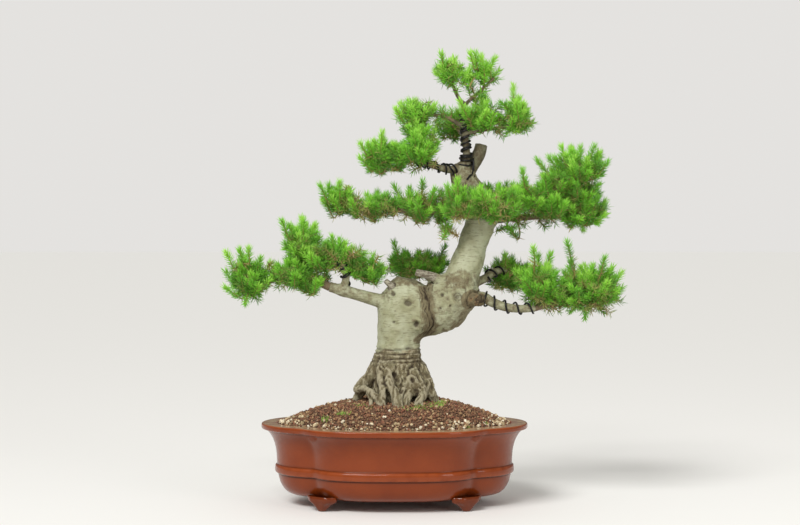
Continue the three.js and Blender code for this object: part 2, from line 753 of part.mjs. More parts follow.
// Points along a spray's own branch where twigs can start.
function buds(line) {
  const found = [];
  for (let i = 1; i + 1 < line.length; i += 1) {
    const steps = Math.max(1, Math.round(line[i].at.distanceTo(line[i + 1].at) / SHOOT.budSpacing));
    for (let j = 1; j <= steps; j += 1) {
      const at = line[i].at.clone().lerp(line[i + 1].at, j / steps);
      found.push({ at, twig: Math.min(SHOOT.baseRadius, line[i + 1].radius * 0.6) });
    }
  }
  return found;
}

function nearest(starts, target) {
  const gap = (start) => start.at.distanceTo(target);
  return starts.reduce((best, start) => (gap(start) < gap(best) ? start : best));
}

// A needle leaves its shoot through the middle of one of the shoot's three flat sides.
function needleLine({ base, tip, grows }, { side, other }, index) {
  const up = SHOOT.firstNeedle + ((1 - SHOOT.firstNeedle) * (index + 0.5)) / SHOOT.needles;
  const root = base.clone().lerp(tip, up);
  const turn = Math.PI / 3 + (index * 2 * Math.PI) / 3;
  const spread = SHOOT.needleSpread - SHOOT.needleClosing * up;
  const along = grows.clone().multiplyScalar(Math.cos(spread))
    .addScaledVector(side, Math.sin(spread) * Math.sin(turn))
    .addScaledVector(other, Math.sin(spread) * Math.cos(turn));
  const end = root.clone().addScaledVector(along, SHOOT.needleLength);
  return [{ at: root, radius: SHOOT.needleRadius }, { at: end, radius: 0 }];
}

function makeSpray(name, seed) {
  const owner = `spray_${name}`;
  const { needled } = splitBranch(BRANCHES[name]);
  const parts = [sweep(needled, 4)];
  const starts = buds(needled);
  const shoots = shootsOf(FOLIAGE[name], new Dice(seed));
  const reach = (one) => nearest(buds(needled), one.base).at.distanceTo(one.base);
  shoots.sort((a, b) => reach(a) - reach(b));
  for (const one of shoots) {
    const start = nearest(starts, one.base);
    const line = [
      { at: start.at, radius: start.twig },
      { at: one.base, radius: SHOOT.baseRadius },
      { at: one.tip, radius: SHOOT.tipRadius },
      { at: one.tip.clone().addScaledVector(one.grows, SHOOT.needleReach), radius: 0 },
    ];
    if (!isClear(owner, line)) continue;
    const side = SHOOT.baseRadius * SHOOT.sideShare;
    starts.push({ at: start.at.clone().lerp(one.base, 0.5), twig: side }, { at: one.base, twig: side });
    parts.push(sweep(line, 3, one.roll));
    const frame = carriedFrames(line.map((station) => station.at), one.roll)[2];
    const needles = [];
    for (let i = 0; i < SHOOT.needles; i += 1) needles.push(needleLine(one, frame, i));
    for (const needle of needles.filter((each) => isClear(null, each))) {
      parts.push(sweep(needle, 3, 0));
      claim(owner, needle);
    }
    claim(owner, line);
  }
  return fuse(parts);
}

// ---- The whole ----------------------------------------------------------------------------------

const tree = new THREE.Group();
tree.add(piece('trunk', makeTrunk(), BARK));
for (const rows of [TRUNK, LIMB, LEADER, OLD_LEADER, DEAD_STUB, DEAD_TWIG, CUT_KNOT, BROKEN_STUB]) {
  claim('trunk', stations(rows));
}
for (const branch of Object.values(BRANCHES)) claim('trunk', splitBranch(branch).wood);
for (const branch of Object.entries(BRANCHES)) claim(`spray_${branch[0]}`, splitBranch(branch[1]).needled);

for (const [name, wire] of Object.entries(WIRES)) {
  const line = wireLine(wire);
  tree.add(piece(name, sweep(line, 4), BLACK_WIRE));
  claim(name, line);
}
Object.keys(BRANCHES).forEach((name, i) => {
  tree.add(piece(`spray_${name}`, makeSpray(name, SPRAY_SEED + 17 * i), NEEDLES));
});

const planted = new THREE.Group();
planted.add(piece('pot', makePot(), GLAZE), piece('soil', makeSoil(), GRANULES), tree);
const box = new THREE.Box3().setFromObject(planted);
const middle = box.getCenter(new THREE.Vector3());
planted.position.set(-middle.x, -middle.y, 0);

const group = new THREE.Group();
group.add(planted);
export default group;
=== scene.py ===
"""The looks of an old bonsai conifer in its lobed ceramic pot, built around the fixed CAD frame.

Shapes are worked out in millimetres from the pot's upright axis, as the solids were: +Z is up and
the front looks towards -Y. A finished mesh is then scaled to the frame's metres and set down where
the pot stands.
"""

from __future__ import annotations

import logging
import math
from dataclasses import astuple, dataclass, replace
from enum import Enum
from functools import cache
from typing import Any, Callable, ClassVar, Sequence

import bmesh
import bpy
import numpy as np
from mathutils import Matrix, Vector, noise

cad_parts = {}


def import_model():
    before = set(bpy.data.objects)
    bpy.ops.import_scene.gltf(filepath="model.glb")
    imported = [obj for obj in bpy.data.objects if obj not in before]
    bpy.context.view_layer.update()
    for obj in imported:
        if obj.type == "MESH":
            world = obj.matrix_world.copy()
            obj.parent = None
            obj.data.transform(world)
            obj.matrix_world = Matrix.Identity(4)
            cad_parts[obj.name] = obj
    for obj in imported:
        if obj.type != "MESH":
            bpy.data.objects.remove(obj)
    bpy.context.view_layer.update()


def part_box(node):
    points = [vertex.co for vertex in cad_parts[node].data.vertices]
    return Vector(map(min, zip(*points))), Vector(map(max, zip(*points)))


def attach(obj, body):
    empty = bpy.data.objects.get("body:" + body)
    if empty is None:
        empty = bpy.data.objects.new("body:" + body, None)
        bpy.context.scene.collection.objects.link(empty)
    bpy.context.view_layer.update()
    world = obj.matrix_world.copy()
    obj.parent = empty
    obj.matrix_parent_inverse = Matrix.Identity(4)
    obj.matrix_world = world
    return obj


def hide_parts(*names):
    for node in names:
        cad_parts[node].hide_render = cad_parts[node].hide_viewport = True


LOG = logging.getLogger("bonsai")

MM = 0.001
TURN = 2 * math.pi
GOLDEN_TURN = math.pi * (3 - math.sqrt(5))

Array = np.ndarray
Mesh = bpy.types.Mesh
Material = bpy.types.Material
Triple = tuple[float, float, float]
Station = tuple[float, float, float, float]
Reach = tuple[Array, Array, Array]


class Slot(Enum):
    """The record's material slots."""

    GLAZE = "glaze"
    GRANULES = "granules"
    BARK = "bark"
    NEEDLES = "needles"
    WIRE = "training_wire"


# ---- Small helpers ----


class Dice:
    """A repeatable stream of numbers from 0 to 1."""

    def __init__(self, seed: int) -> None:
        """Starts the stream.

        Args:
            seed: Any whole number above 0.
        """
        self.state = seed

    def next(self) -> float:
        """Returns the next number."""
        self.state = (self.state * 16807) % 2147483647
        return self.state / 2147483647


def blend(low: float, high: float, value: Array) -> Array:
    """Eases from 0 where a value is low to 1 where it is high. High may lie below low."""
    share = np.clip((value - low) / (high - low), 0, 1)
    return share * share * (3 - 2 * share)


def linear(tint: str) -> Triple:
    """Turns a colour as it is seen, such as "84442b", into the linear light that shaders use."""
    shares = [int(tint[i : i + 2], 16) / 255 for i in (0, 2, 4)]
    return tuple(s / 12.92 if s <= 0.04045 else ((s + 0.055) / 1.055) ** 2.4 for s in shares)


def speckle(places: Array, size: Triple, octaves: int = 3, shift: float = 0) -> Array:
    """Returns fractal noise, roughly -1 to 1, with grains of that size. A shift makes it another."""
    scaled = places / np.asarray(size, float) + shift
    return np.array([noise.fractal(Vector(p), 0.8, 2.1, octaves) for p in scaled])


def mesh_from(work: bmesh.types.BMesh, name: str) -> Mesh:
    """Turns a bmesh into a mesh and frees it.

    Args:
        work: The finished bmesh.
        name: The new mesh's name.

    Returns:
        The mesh.
    """
    mesh = bpy.data.meshes.new(name)
    work.to_mesh(mesh)
    work.free()
    return mesh


def placed(name: str, data: Any) -> bpy.types.Object:
    """Puts a new object into the scene.

    Args:
        name: Its name.
        data: Its mesh, curve, light or camera.

    Returns:
        The object.
    """
    made = bpy.data.objects.new(name, data)
    bpy.context.scene.collection.objects.link(made)
    return made


def evaluated(holder: bpy.types.Object) -> Mesh:
    """Keeps the mesh that an object's modifiers or curves make.

    Args:
        holder: The object, which is removed.

    Returns:
        A new mesh.
    """
    graph = bpy.context.evaluated_depsgraph_get()
    made = bpy.data.meshes.new_from_object(holder.evaluated_get(graph))
    bpy.data.objects.remove(holder)
    return made


def modified(mesh: Mesh, kind: str, **settings: Any) -> Mesh:
    """Runs a modifier over a mesh and keeps the result.

    Args:
        mesh: The mesh to work on.
        kind: The modifier's type.
        settings: Its settings.

    Returns:
        A new mesh.
    """
    holder = placed("holder", mesh)
    modifier = holder.modifiers.new(kind.lower(), kind)
    for key, value in settings.items():
        setattr(modifier, key, value)
    return evaluated(holder)


def spun(work: bmesh.types.BMesh, chain: Sequence[bmesh.types.BMVert], steps: int) -> None:
    """Joins a chain of vertices with edges and spins it round the upright axis.

    Args:
        work: The bmesh that holds them.
        chain: The vertices in order.
        steps: How many steps make the full turn.
    """
    for low, high in zip(chain, chain[1:]):
        work.edges.new((low, high))
    bmesh.ops.spin(
        work, geom=work.verts[:] + work.edges[:], cent=(0, 0, 0), axis=(0, 0, 1), dvec=(0, 0, 0),
        angle=TURN, steps=steps, use_merge=True, use_duplicate=False,
    )


def write_shares(mesh: Mesh, name: str, values: Array) -> None:
    """Stores one number at each vertex, under a name that a material reads."""
    attribute = mesh.attributes.new(name, "FLOAT", "POINT")
    attribute.data.foreach_set("value", np.asarray(values, np.float32))


def gathered(items: Any, key: str, width: int = 1, kind: type = np.int32) -> Array:
    """Reads one property of all of a mesh's vertices, edges, corners or faces.

    Args:
        items: The vertices, edges, corners or faces.
        key: The property.
        width: How many numbers it has.
        kind: The type of its numbers.

    Returns:
        An (n, width) array.
    """
    values = np.empty(len(items) * width, kind)
    items.foreach_get(key, values)
    return values.reshape(-1, width)


def vertices_of(mesh: Mesh) -> Array:
    """Returns the mesh's vertices as an (n, 3) array."""
    return gathered(mesh.vertices, "co", 3, np.float32).astype(float)


def normals_of(mesh: Mesh) -> Array:
    """Returns the mesh's vertex normals as an (n, 3) array."""
    return gathered(mesh.vertex_normals, "vector", 3, np.float32).astype(float)


def move_vertices(mesh: Mesh, places: Array) -> None:
    """Moves the mesh's vertices to the places in an (n, 3) array."""
    mesh.vertices.foreach_set("co", places.astype(np.float32).ravel())
    mesh.update()


def stamped(template: Mesh, places: Array, name: str) -> Mesh:
    """Repeats a small modelled shape many times in one mesh.

    Args:
        template: The shape, whose faces are repeated.
        places: An (n, m, 3) array, with the template's m vertices put in place n times.
        name: The new mesh's name.

    Returns:
        The mesh.
    """
    copies, corners = places.shape[:2]
    starts = gathered(template.polygons, "loop_start").ravel()
    loops = gathered(template.loops, "vertex_index").ravel()
    steps = np.arange(copies, dtype=np.int32)[:, None]
    mesh = bpy.data.meshes.new(name)
    mesh.vertices.add(copies * corners)
    mesh.vertices.foreach_set("co", places.astype(np.float32).ravel())
    mesh.loops.add(copies * len(loops))
    mesh.loops.foreach_set("vertex_index", (loops[None, :] + steps * corners).ravel())
    mesh.polygons.add(copies * len(starts))
    mesh.polygons.foreach_set("loop_start", (starts[None, :] + steps * len(loops)).ravel())
    mesh.update(calc_edges=True)
    mesh.validate()
    return mesh


@cache
def foot() -> Vector:
    """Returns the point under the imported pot's upright axis, in the frame's metres."""
    low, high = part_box("pot")
    return Vector(((low.x + high.x) / 2, (low.y + high.y) / 2, low.z))


def set_down(
    mesh: Mesh,
    name: str,
    finish: Material,
    node: str,
    smooth: bool = True,
) -> None:
    """Brings a mesh into the frame and publishes it as a piece.

    Args:
        mesh: A mesh in millimetres from the pot's axis.
        name: The piece's name.
        finish: Its material.
        node: The CAD node that it stands for.
        smooth: Whether its faces are shaded smooth.
    """
    mesh.name = name
    mesh.transform(Matrix.Translation(foot()) @ Matrix.Scale(MM, 4))
    mesh.materials.append(finish)
    mesh.polygons.foreach_set("use_smooth", [smooth] * len(mesh.polygons))
    piece = placed(name, mesh)
    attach(piece, "root")
    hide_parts(node)
    LOG.info("%s: %d faces", name, len(mesh.polygons))


# ---- Centre lines and round timber ----


@dataclass(frozen=True)
class Line:
    """A centre line with a radius at each of its points.

    Args:
        places: An (n, 3) array in millimetres.
        radii: One radius for each place.
    """

    places: Array
    radii: Array

    @classmethod
    def through(cls, rows: Sequence[Station]) -> Line:
        """Returns the line through stations given as x, y, z and radius."""
        table = np.asarray(rows, float)
        return cls(table[:, :3], table[:, 3])

    def refined(self, steps: int) -> Line:
        """Runs a smooth curve through the points.

        Args:
            steps: How many pieces each stretch is cut into.

        Returns:
            The line through all the new points.
        """
        table = np.column_stack([self.places, self.radii])
        padded = np.vstack([2 * table[0] - table[1], table, 2 * table[-1] - table[-2]])
        made = [table[0]]
        for i in range(len(table) - 1):
            before, start, end, after = padded[i : i + 4]
            for t in np.arange(1, steps + 1) / steps:
                cubic = 3 * start - before - 3 * end + after
                square = 2 * before - 5 * start + 4 * end - after
                made.append(0.5 * (2 * start + (end - before) * t + square * t**2 + cubic * t**3))
        table = np.array(made)
        return Line(table[:, :3], table[:, 3])

    def at(self, share: float) -> tuple[Array, float]:
        """Finds a point on the line.

        Args:
            share: The station to start from, and the share of the way to the next.

        Returns:
            The point and its radius.
        """
        i = min(int(share), len(self.radii) - 2)
        t = share - i
        place = self.places[i] * (1 - t) + self.places[i + 1] * t
        return place, self.radii[i] * (1 - t) + self.radii[i + 1] * t

    def frames(self) -> list[tuple[Vector, Vector, Vector]]:
        """Carries a side direction along the line, turning it as little as it can.

        Returns:
            The direction along the line, the side and the other side, at each point.
        """
        found = []
        side = None
        last = len(self.places) - 1
        for i in range(last + 1):
            before = Vector(self.places[max(i - 1, 0)])
            along = (Vector(self.places[min(i + 1, last)]) - before).normalized()
            if side is None:
                side = Vector((1, 0, 0)) if abs(along.z) > 0.9 else Vector((0, 0, 1))
            side = (side - along * side.dot(along)).normalized()
            found.append((along, side.copy(), along.cross(side)))
        return found


def round_timber(lines: Sequence[Line], sides: int) -> Mesh:
    """Makes a closed round tube along each line, tapering with its radii.

    Args:
        lines: The centre lines.
        sides: How many quarters of detail go round each tube.

    Returns:
        One mesh with all the tubes.
    """
    curve = bpy.data.curves.new("timber", "CURVE")
    curve.dimensions = "3D"
    curve.bevel_depth = 1
    curve.bevel_resolution = sides
    curve.use_fill_caps = True
    for line in lines:
        spline = curve.splines.new("POLY")
        spline.points.add(len(line.radii) - 1)
        spline.points.foreach_set("co", np.column_stack([line.places, np.ones(len(line.radii))]).ravel())
        spline.points.foreach_set("radius", line.radii)
    mesh = evaluated(placed("timber", curve))
    bpy.data.curves.remove(curve)
    return mesh


# ---- Finishes ----


class Desk:
    """A node tree with short ways to place and join its nodes. Colours are given as they are seen.

    Args:
        tree: The material's, the world's or the group's node tree.
        shader: The node that feed works on.
    """

    MOTTLE = "mottle"

    def __init__(self, tree: bpy.types.NodeTree, shader: bpy.types.Node) -> None:
        """Opens a node tree to work on."""
        self.tree = tree
        self.shader = shader

    def feed(self, name: str, source: Any) -> None:
        """Feeds the shader's socket of that name, as join does."""
        self.join(source, self.shader.inputs[name])

    def join(self, source: Any, target: bpy.types.NodeSocket) -> None:
        """Feeds a socket from another socket, or sets it to a value.

        Args:
            source: A socket, a number, three numbers, or a colour's six hexadecimal digits.
            target: The socket to feed.
        """
        if isinstance(source, bpy.types.NodeSocket):
            self.tree.links.new(source, target)
        else:
            target.default_value = (*linear(source), 1) if isinstance(source, str) else source

    def place(self, kind: str, settings: dict[str, Any] | None = None, **sockets: Any) -> bpy.types.Node:
        """Adds a node.

        Args:
            kind: The node's type, without its ShaderNode prefix.
            settings: Its properties.
            sockets: What feeds its sockets, by their names with _ for spaces.

        Returns:
            The node.
        """
        node = self.tree.nodes.new("ShaderNode" + kind)
        for key, value in (settings or {}).items():
            setattr(node, key, value)
        for key, source in sockets.items():
            self.join(source, node.inputs[key.replace("_", " ")])
        return node

    def noise(self, scale: Any, detail: float = 3, rough: Any = 0.5, stretch: Triple = (1, 1, 1)) -> Any:
        """Returns fractal noise from 0 to 1 over the piece.

        Args:
            scale: Grains to the metre.
            detail: How many finer layers it has.
            rough: How strong those are.
            stretch: Scales it along each axis.

        Returns:
            The noise's socket.
        """
        spot = self.place("TexCoord").outputs["Object"]
        if stretch != (1, 1, 1):
            spot = self.place("Mapping", Vector=spot, Scale=stretch).outputs["Vector"]
        node = self.place("TexNoise", Vector=spot, Scale=scale, Detail=detail, Roughness=rough)
        return node.outputs["Fac"]

    def span(self, value: Any, low: Any, high: Any, start: float = 0, end: float = 1) -> Any:
        """Turns the stretch from low to high into one from start to end, and holds it there.

        Args:
            value: The number to turn.
            low: Where the stretch begins. It may lie above high.
            high: Where it ends.
            start: What low becomes.
            end: What high becomes.

        Returns:
            The result's socket.
        """
        node = self.place(
            "MapRange", {"interpolation_type": "SMOOTHSTEP"},
            Value=value, From_Min=low, From_Max=high, To_Min=start, To_Max=end,
        )
        return node.outputs["Result"]

    def maths(self, operation: str, first: Any, second: Any) -> Any:
        """Works two numbers into one.

        Args:
            operation: How, such as ADD.
            first: A number or its socket.
            second: Another.

        Returns:
            The result's socket.
        """
        node = self.place("Math", {"operation": operation})
        self.join(first, node.inputs[0])
        self.join(second, node.inputs[1])
        return node.outputs[0]

    def times(self, first: Any, second: Any) -> Any:
        """Returns the product of two numbers."""
        return self.maths("MULTIPLY", first, second)

    def layered(self, base: Any, *layers: tuple[Any, Any]) -> Any:
        """Lays colours over one another.

        Args:
            base: The colour underneath.
            layers: For each colour on it, how much of it covers what is below, and the colour.

        Returns:
            The colour's socket.
        """
        for share, colour in layers:
            node = self.place("Mix", {"data_type": "RGBA"})
            self.join(share, node.inputs["Factor"])
            self.join(base, node.inputs[6])
            self.join(colour, node.inputs[7])
            base = node.outputs[2]
        return base

    def steps(self, name: str, colours: dict[float, str]) -> Any:
        """Turns a number that the mesh stores into a colour.

        Args:
            name: The number's name.
            colours: The colour at each of some numbers from 0 to 1.

        Returns:
            The colour's socket.
        """
        node = self.place("ValToRGB", Fac=self.stored(name))
        elements = node.color_ramp.elements
        while len(elements) < len(colours):
            elements.new(1)
        for element, (place, tint) in zip(elements, colours.items()):
            element.position = place
            element.color = (*linear(tint), 1)
        return node.outputs["Color"]

    def stored(self, name: str) -> Any:
        """Returns the numbers that the mesh stores under a name."""
        return self.place("Attribute", {"attribute_name": name}).outputs["Fac"]

    def relief(self, height: Any, depth: float, **under: Any) -> Any:
        """Returns normals that show a height, of a depth in metres, on top of the Normal under it."""
        return self.place("Bump", Strength=1.0, Distance=depth, Height=height, **under).outputs["Normal"]

    @classmethod
    def patches(cls) -> bpy.types.NodeTree:
        """Returns the node group that mottle uses, and builds it the first time."""
        if cls.MOTTLE in bpy.data.node_groups:
            return bpy.data.node_groups[cls.MOTTLE]
        tree = bpy.data.node_groups.new(cls.MOTTLE, "ShaderNodeTree")
        for name in ("Scale", "Low", "High", "Rough"):
            tree.interface.new_socket(name, in_out="INPUT", socket_type="NodeSocketFloat")
        tree.interface.new_socket("Patches", in_out="OUTPUT", socket_type="NodeSocketFloat")
        scale, low, high, rough = tree.nodes.new("NodeGroupInput").outputs[:4]
        desk = cls(tree, tree.nodes.new("NodeGroupOutput"))
        desk.feed("Patches", desk.span(desk.noise(scale, 4, rough), low, high))
        return tree

    def mottle(self, scale: float, low: float = 0.4, high: float = 0.6, rough: float = 0.55) -> Any:
        """Returns cloudy patches with soft edges over a piece, from 0 to 1.

        Args:
            scale: Patches to the metre.
            low: The noise at which a patch begins.
            high: The noise at which it is full.
            rough: How ragged its edges are.

        Returns:
            The patches' socket.
        """
        group = {"node_tree": self.patches()}
        return self.place("Group", group, Scale=scale, Low=low, High=high, Rough=rough).outputs["Patches"]


@dataclass(frozen=True)
class Finish:
    """A finish that paints a material.

    Args:
        name: The material's name.
        roughness: How dull it is where nothing else says so.
    """

    name: str
    roughness: float = 0.5

    def paint(self, desk: Desk) -> None:
        """Feeds the shader. Each finish has its own way."""
        raise NotImplementedError

    def material(self) -> Material:
        """Returns the finish as a material."""
        made = bpy.data.materials.new(self.name)
        made.use_nodes = True
        desk = Desk(made.node_tree, made.node_tree.nodes["Principled BSDF"])
        desk.feed("Roughness", self.roughness)
        self.paint(desk)
        return made


@dataclass(frozen=True)
class Glaze(Finish):
    """Red-brown glaze, thin and orange on edges, dark where it pools and with painted shade in its grooves,
    under the lip and on the feet, with dust on its ledges.
    """

    name: str = "red_brown_glaze"
    thick: str = "732f0d"
    cloudy: str = "7a3410"
    thin: str = "8e431f"
    pooled_and_shaded: str = "3f1806"
    speck: str = "30120a"
    dusty: str = "ab9673"

    def paint(self, desk: Desk) -> None:
        """Feeds the shader.

        Args:
            desk: The material's desk.
        """
        worn = desk.times(desk.stored("edge"), desk.span(desk.noise(60), 0.25, 0.6))
        specks = desk.span(desk.noise(950, 2), 0.69, 0.75, 0, 0.55)
        dust = desk.times(desk.span(desk.noise(45), 0.35, 0.65, 0.35, 0.85), desk.stored("ledge"))
        # The pooled layer is glaze pooling and painted shade in the grooves, under the lip and on the feet.
        desk.feed("Base Color", desk.layered(
            self.thick, (desk.mottle(26, 0.3, 0.7), self.cloudy), (worn, self.thin),
            (desk.stored("pool"), self.pooled_and_shaded), (specks, self.speck), (dust, self.dusty),
        ))
        dull = desk.span(desk.noise(140, 4, 0.6), 0.3, 0.75, 0.3, 0.46)
        desk.feed("Roughness", desk.maths("ADD", dull, desk.times(dust, 0.3)))
        desk.feed("Specular IOR Level", 0.12)
        desk.feed("Coat Weight", 0.65)
        desk.feed("Coat IOR", 1.36)
        desk.feed("Coat Roughness", 0.06)
        peel = desk.relief(desk.noise(420, 2), 0.00004)
        desk.feed("Normal", desk.relief(desk.noise(38, 2), 0.0005, Normal=peel))


@dataclass(frozen=True)
class Crumbs(Finish):
    """Fired clay crumbs, each of its own brown."""

    name: str = "clay_crumbs"
    roughness: float = 0.92

    TONES: ClassVar[dict[float, str]] = {
        0: "4c3526", 0.25: "6d4b37", 0.5: "87513c", 0.7: "8f6648", 0.88: "a5835c", 1: "b89b72",
    }

    def paint(self, desk: Desk) -> None:
        """Feeds the shader.

        Args:
            desk: The material's desk.
        """
        stain = desk.times(desk.mottle(420, 0.45, 0.65), 0.7)
        dust = desk.times(desk.mottle(700, 0.5, 0.6), 0.35)
        own = desk.steps("tone", self.TONES)
        desk.feed("Base Color", desk.layered(own, (stain, "5a4030"), (dust, "a98c6a")))
        desk.feed("Normal", desk.relief(desk.noise(1500, 3, 0.7), 0.0006))


@dataclass(frozen=True)
class Pumice(Finish):
    """Pale pumice and grit, with fine pores."""

    name: str = "pale_pumice"
    roughness: float = 0.9

    def paint(self, desk: Desk) -> None:
        """Feeds the shader.

        Args:
            desk: The material's desk.
        """
        own = desk.steps("tone", {0: "8f8166", 0.35: "b9a27a", 0.7: "d8c7a4", 1: "ece3cb"})
        pores = desk.span(desk.noise(2200, 2), 0.55, 0.65, 0, 0.5)
        desk.feed("Base Color", desk.layered(own, (pores, "7d6a4e")))
        desk.feed("Normal", desk.relief(desk.noise(1800, 3, 0.7), 0.0006))


@dataclass(frozen=True)
class Bark(Finish):
    """Smooth grey-green bark, brown and fissured at the base and on old wounds, with painted highlights on
    its ridges and painted shade in its hollows.
    """

    name: str = "bark"

    def paint(self, desk: Desk) -> None:
        """Feeds the shader.

        Args:
            desk: The material's desk.
        """
        rough, sunken = desk.stored("rough"), desk.stored("sunken")
        sleek = desk.layered(
            "8d8c6b", (desk.mottle(38, 0.35, 0.65), "a1a386"),
            (desk.times(desk.mottle(90, 0.52, 0.7, 0.65), 0.6), "7b7d58"),
            (desk.span(desk.noise(150, 2, 0.5, (0.55, 0.55, 3.2)), 0.57, 0.68, 0, 0.75), "716c4e"),
        )
        old = desk.layered(
            "837a5b", (desk.span(desk.noise(190, 6, 0.75, (1, 1, 0.3)), 0.3, 0.7), "584b32"),
            (desk.times(desk.mottle(70, 0.5, 0.66), 0.35), "8d8a6c"),
            (desk.span(desk.noise(800, 3, 0.7), 0.45, 0.7, 0, 0.6), "463a29"),
        )
        dead = desk.span(desk.noise(420, 4, 0.7, (0.3, 1, 1)), 0.4, 0.6)
        splinters = desk.span(desk.noise(260, 4, 0.7), 0.35, 0.65)
        ragged = desk.maths("ADD", rough, desk.span(desk.noise(110, 5, 0.65), 0.25, 0.75, -0.22, 0.22))
        # Painted light by how sunken each vertex lies: ridges on the base painted paler as a painted
        # highlight, and hollows painted darker as painted shade.
        ridge = desk.times(desk.span(sunken, 0.42, 0.1), desk.stored("base"))
        shade = desk.times(desk.span(sunken, 0.54, 0.95), desk.span(rough, 0, 0.8, 0.25, 1))
        # The last three layers are the painted ridge highlight, the painted hollow shade, and the dark
        # cracks and knot middles together with painted shade in the pits between the roots.
        desk.feed("Base Color", desk.layered(
            sleek, (desk.span(ragged, 0.3, 0.7), old),
            (desk.stored("weathered"), desk.layered("9b9582", (dead, "5c5242"))),
            (desk.stored("cut"), desk.layered("43301f", (splinters, "8f7650"))),
            (desk.times(ridge, 0.65), "aea68b"), (shade, "3a2e1e"), (desk.stored("crack"), "3b2f20"),
        ))
        desk.feed("Roughness", desk.span(rough, 0, 1, 0.62, 0.9))
        fine = desk.relief(desk.noise(520, 4, 0.65), 0.0005)
        deep = desk.times(desk.noise(210, 5, 0.7, (1, 1, 0.4)), desk.span(rough, 0.1, 0.9))
        desk.feed("Normal", desk.relief(deep, 0.0035, Normal=fine))


@dataclass(frozen=True)
class Needles(Finish):
    """Satin needles, yellow-green when young and olive when old."""

    name: str = "needles"
    roughness: float = 0.48

    TONES: ClassVar[dict[float, str]] = {
        0: "a98a60", 0.1: "b9ad6c", 0.23: "8b9a46", 0.38: "528c2a", 0.62: "73b830", 0.85: "86cb38",
        1: "a3dc50",
    }

    def paint(self, desk: Desk) -> None:
        """Feeds the shader."""
        desk.feed("Base Color", desk.steps("tone", self.TONES))
        desk.feed("Specular IOR Level", 0.4)


@dataclass(frozen=True)
class Twigs(Finish):
    """Brown twigs, tan and greenish where they are young."""

    name: str = "twigs"
    roughness: float = 0.8

    def paint(self, desk: Desk) -> None:
        """Feeds the shader.

        Args:
            desk: The material's desk.
        """
        young = desk.steps("young", {0: "77664c", 0.5: "8a6d47", 1: "9a8a4e"})
        streaks = desk.span(desk.noise(420, 4, 0.65), 0.4, 0.7, 0, 0.7)
        desk.feed("Base Color", desk.layered(young, (streaks, "52412e")))
        desk.feed("Normal", desk.relief(desk.noise(700, 4, 0.7), 0.0008))


@dataclass(frozen=True)
class BlackWire(Finish):
    """Black anodised wire, scuffed grey in places."""

    name: str = "black_wire"

    def paint(self, desk: Desk) -> None:
        """Feeds the shader.

        Args:
            desk: The material's desk.
        """
        scuffs = desk.span(desk.noise(260, 4, 0.7), 0.56, 0.72, 0, 0.6)
        desk.feed("Base Color", desk.layered("1a1817", (scuffs, "5b5754")))
        desk.feed("Metallic", 0.55)
        desk.feed("Roughness", desk.span(desk.noise(400), 0.3, 0.7, 0.34, 0.5))


@dataclass(frozen=True)
class Moss(Finish):
    """Fresh green moss and seedlings."""

    name: str = "moss"
    roughness: float = 0.75

    def paint(self, desk: Desk) -> None:
        """Feeds the shader."""
        desk.feed("Base Color", desk.steps("tone", {0: "3c4a1c", 0.5: "6d8a32", 1: "9ab552"}))


@dataclass(frozen=True)
class Floor(Finish):
    """Pale matt paper under the pot."""

    name: str = "pale_paper"
    roughness: float = 0.85

    def paint(self, desk: Desk) -> None:
        """Feeds the shader."""
        desk.feed("Base Color", "ebeae6")


# ---- Pot ----


@dataclass(frozen=True)
class LobedOutline:
    """The rim seen from above: a broad front and back lobe, and a round lobe at each end.

    Args:
        broad_half_length: Half the broad lobes' length.
        broad_half_depth: Half the rim's depth.
        broad_power: How square the broad lobes are.
        end_centre: How far the end lobes' centres lie from the axis.
        end_radius: Their radius.
        blend: How wide the notches between the lobes are filled.
    """

    broad_half_length: float = 166
    broad_half_depth: float = 158
    broad_power: float = 3
    end_centre: float = 110
    end_radius: float = 110
    blend: float = 3.5

    def end_lobe(self, angle: float, inset: float) -> float:
        """Returns how far the end lobes reach in a direction, or 0 where they don't."""
        rest = (self.end_radius - inset) ** 2 - (self.end_centre * math.sin(angle)) ** 2
        return 0.0 if rest < 0 else self.end_centre * abs(math.cos(angle)) + math.sqrt(rest)

    def broad_lobe(self, angle: float, inset: float) -> float:
        """Returns how far the broad lobes reach in a direction."""
        halves = (math.cos(angle), self.broad_half_length), (math.sin(angle), self.broad_half_depth)
        total = sum((abs(way) / (half - inset)) ** self.broad_power for way, half in halves)
        return total ** (-1 / self.broad_power)

    def radius(self, angle: float, inset: float) -> float:
        """Returns how far from the axis the outline lies that runs an inset inside the rim's edge."""
        ends, broad = self.end_lobe(angle, inset), self.broad_lobe(angle, inset)
        return (ends + broad + math.hypot(ends - broad, self.blend)) / 2

    def notch(self, inset: float) -> float:
        """Finds the notch in the first quarter.

        Args:
            inset: The outline's inset.

        Returns:
            Its direction.
        """
        low, high = 0.2, 1.2
        for _ in range(30):
            middle = (low + high) / 2
            if self.end_lobe(middle, inset) > self.broad_lobe(middle, inset):
                low = middle
            else:
                high = middle
        return low

    def steered(self, turn: float, inset: float) -> float:
        """Turns even angles into ones that put the middle of each quarter on its notch.

        Args:
            turn: The even angle.
            inset: The outline's inset.

        Returns:
            The angle to use.
        """
        right = math.pi / 2
        quarter, share = divmod(turn / right, 1)
        if quarter % 2:
            share = 1 - share
        notch = self.notch(inset)
        angle = notch * share * 2 if share < 0.5 else notch + (right - notch) * (share - 0.5) * 2
        return quarter * right + (right - angle if quarter % 2 else angle)


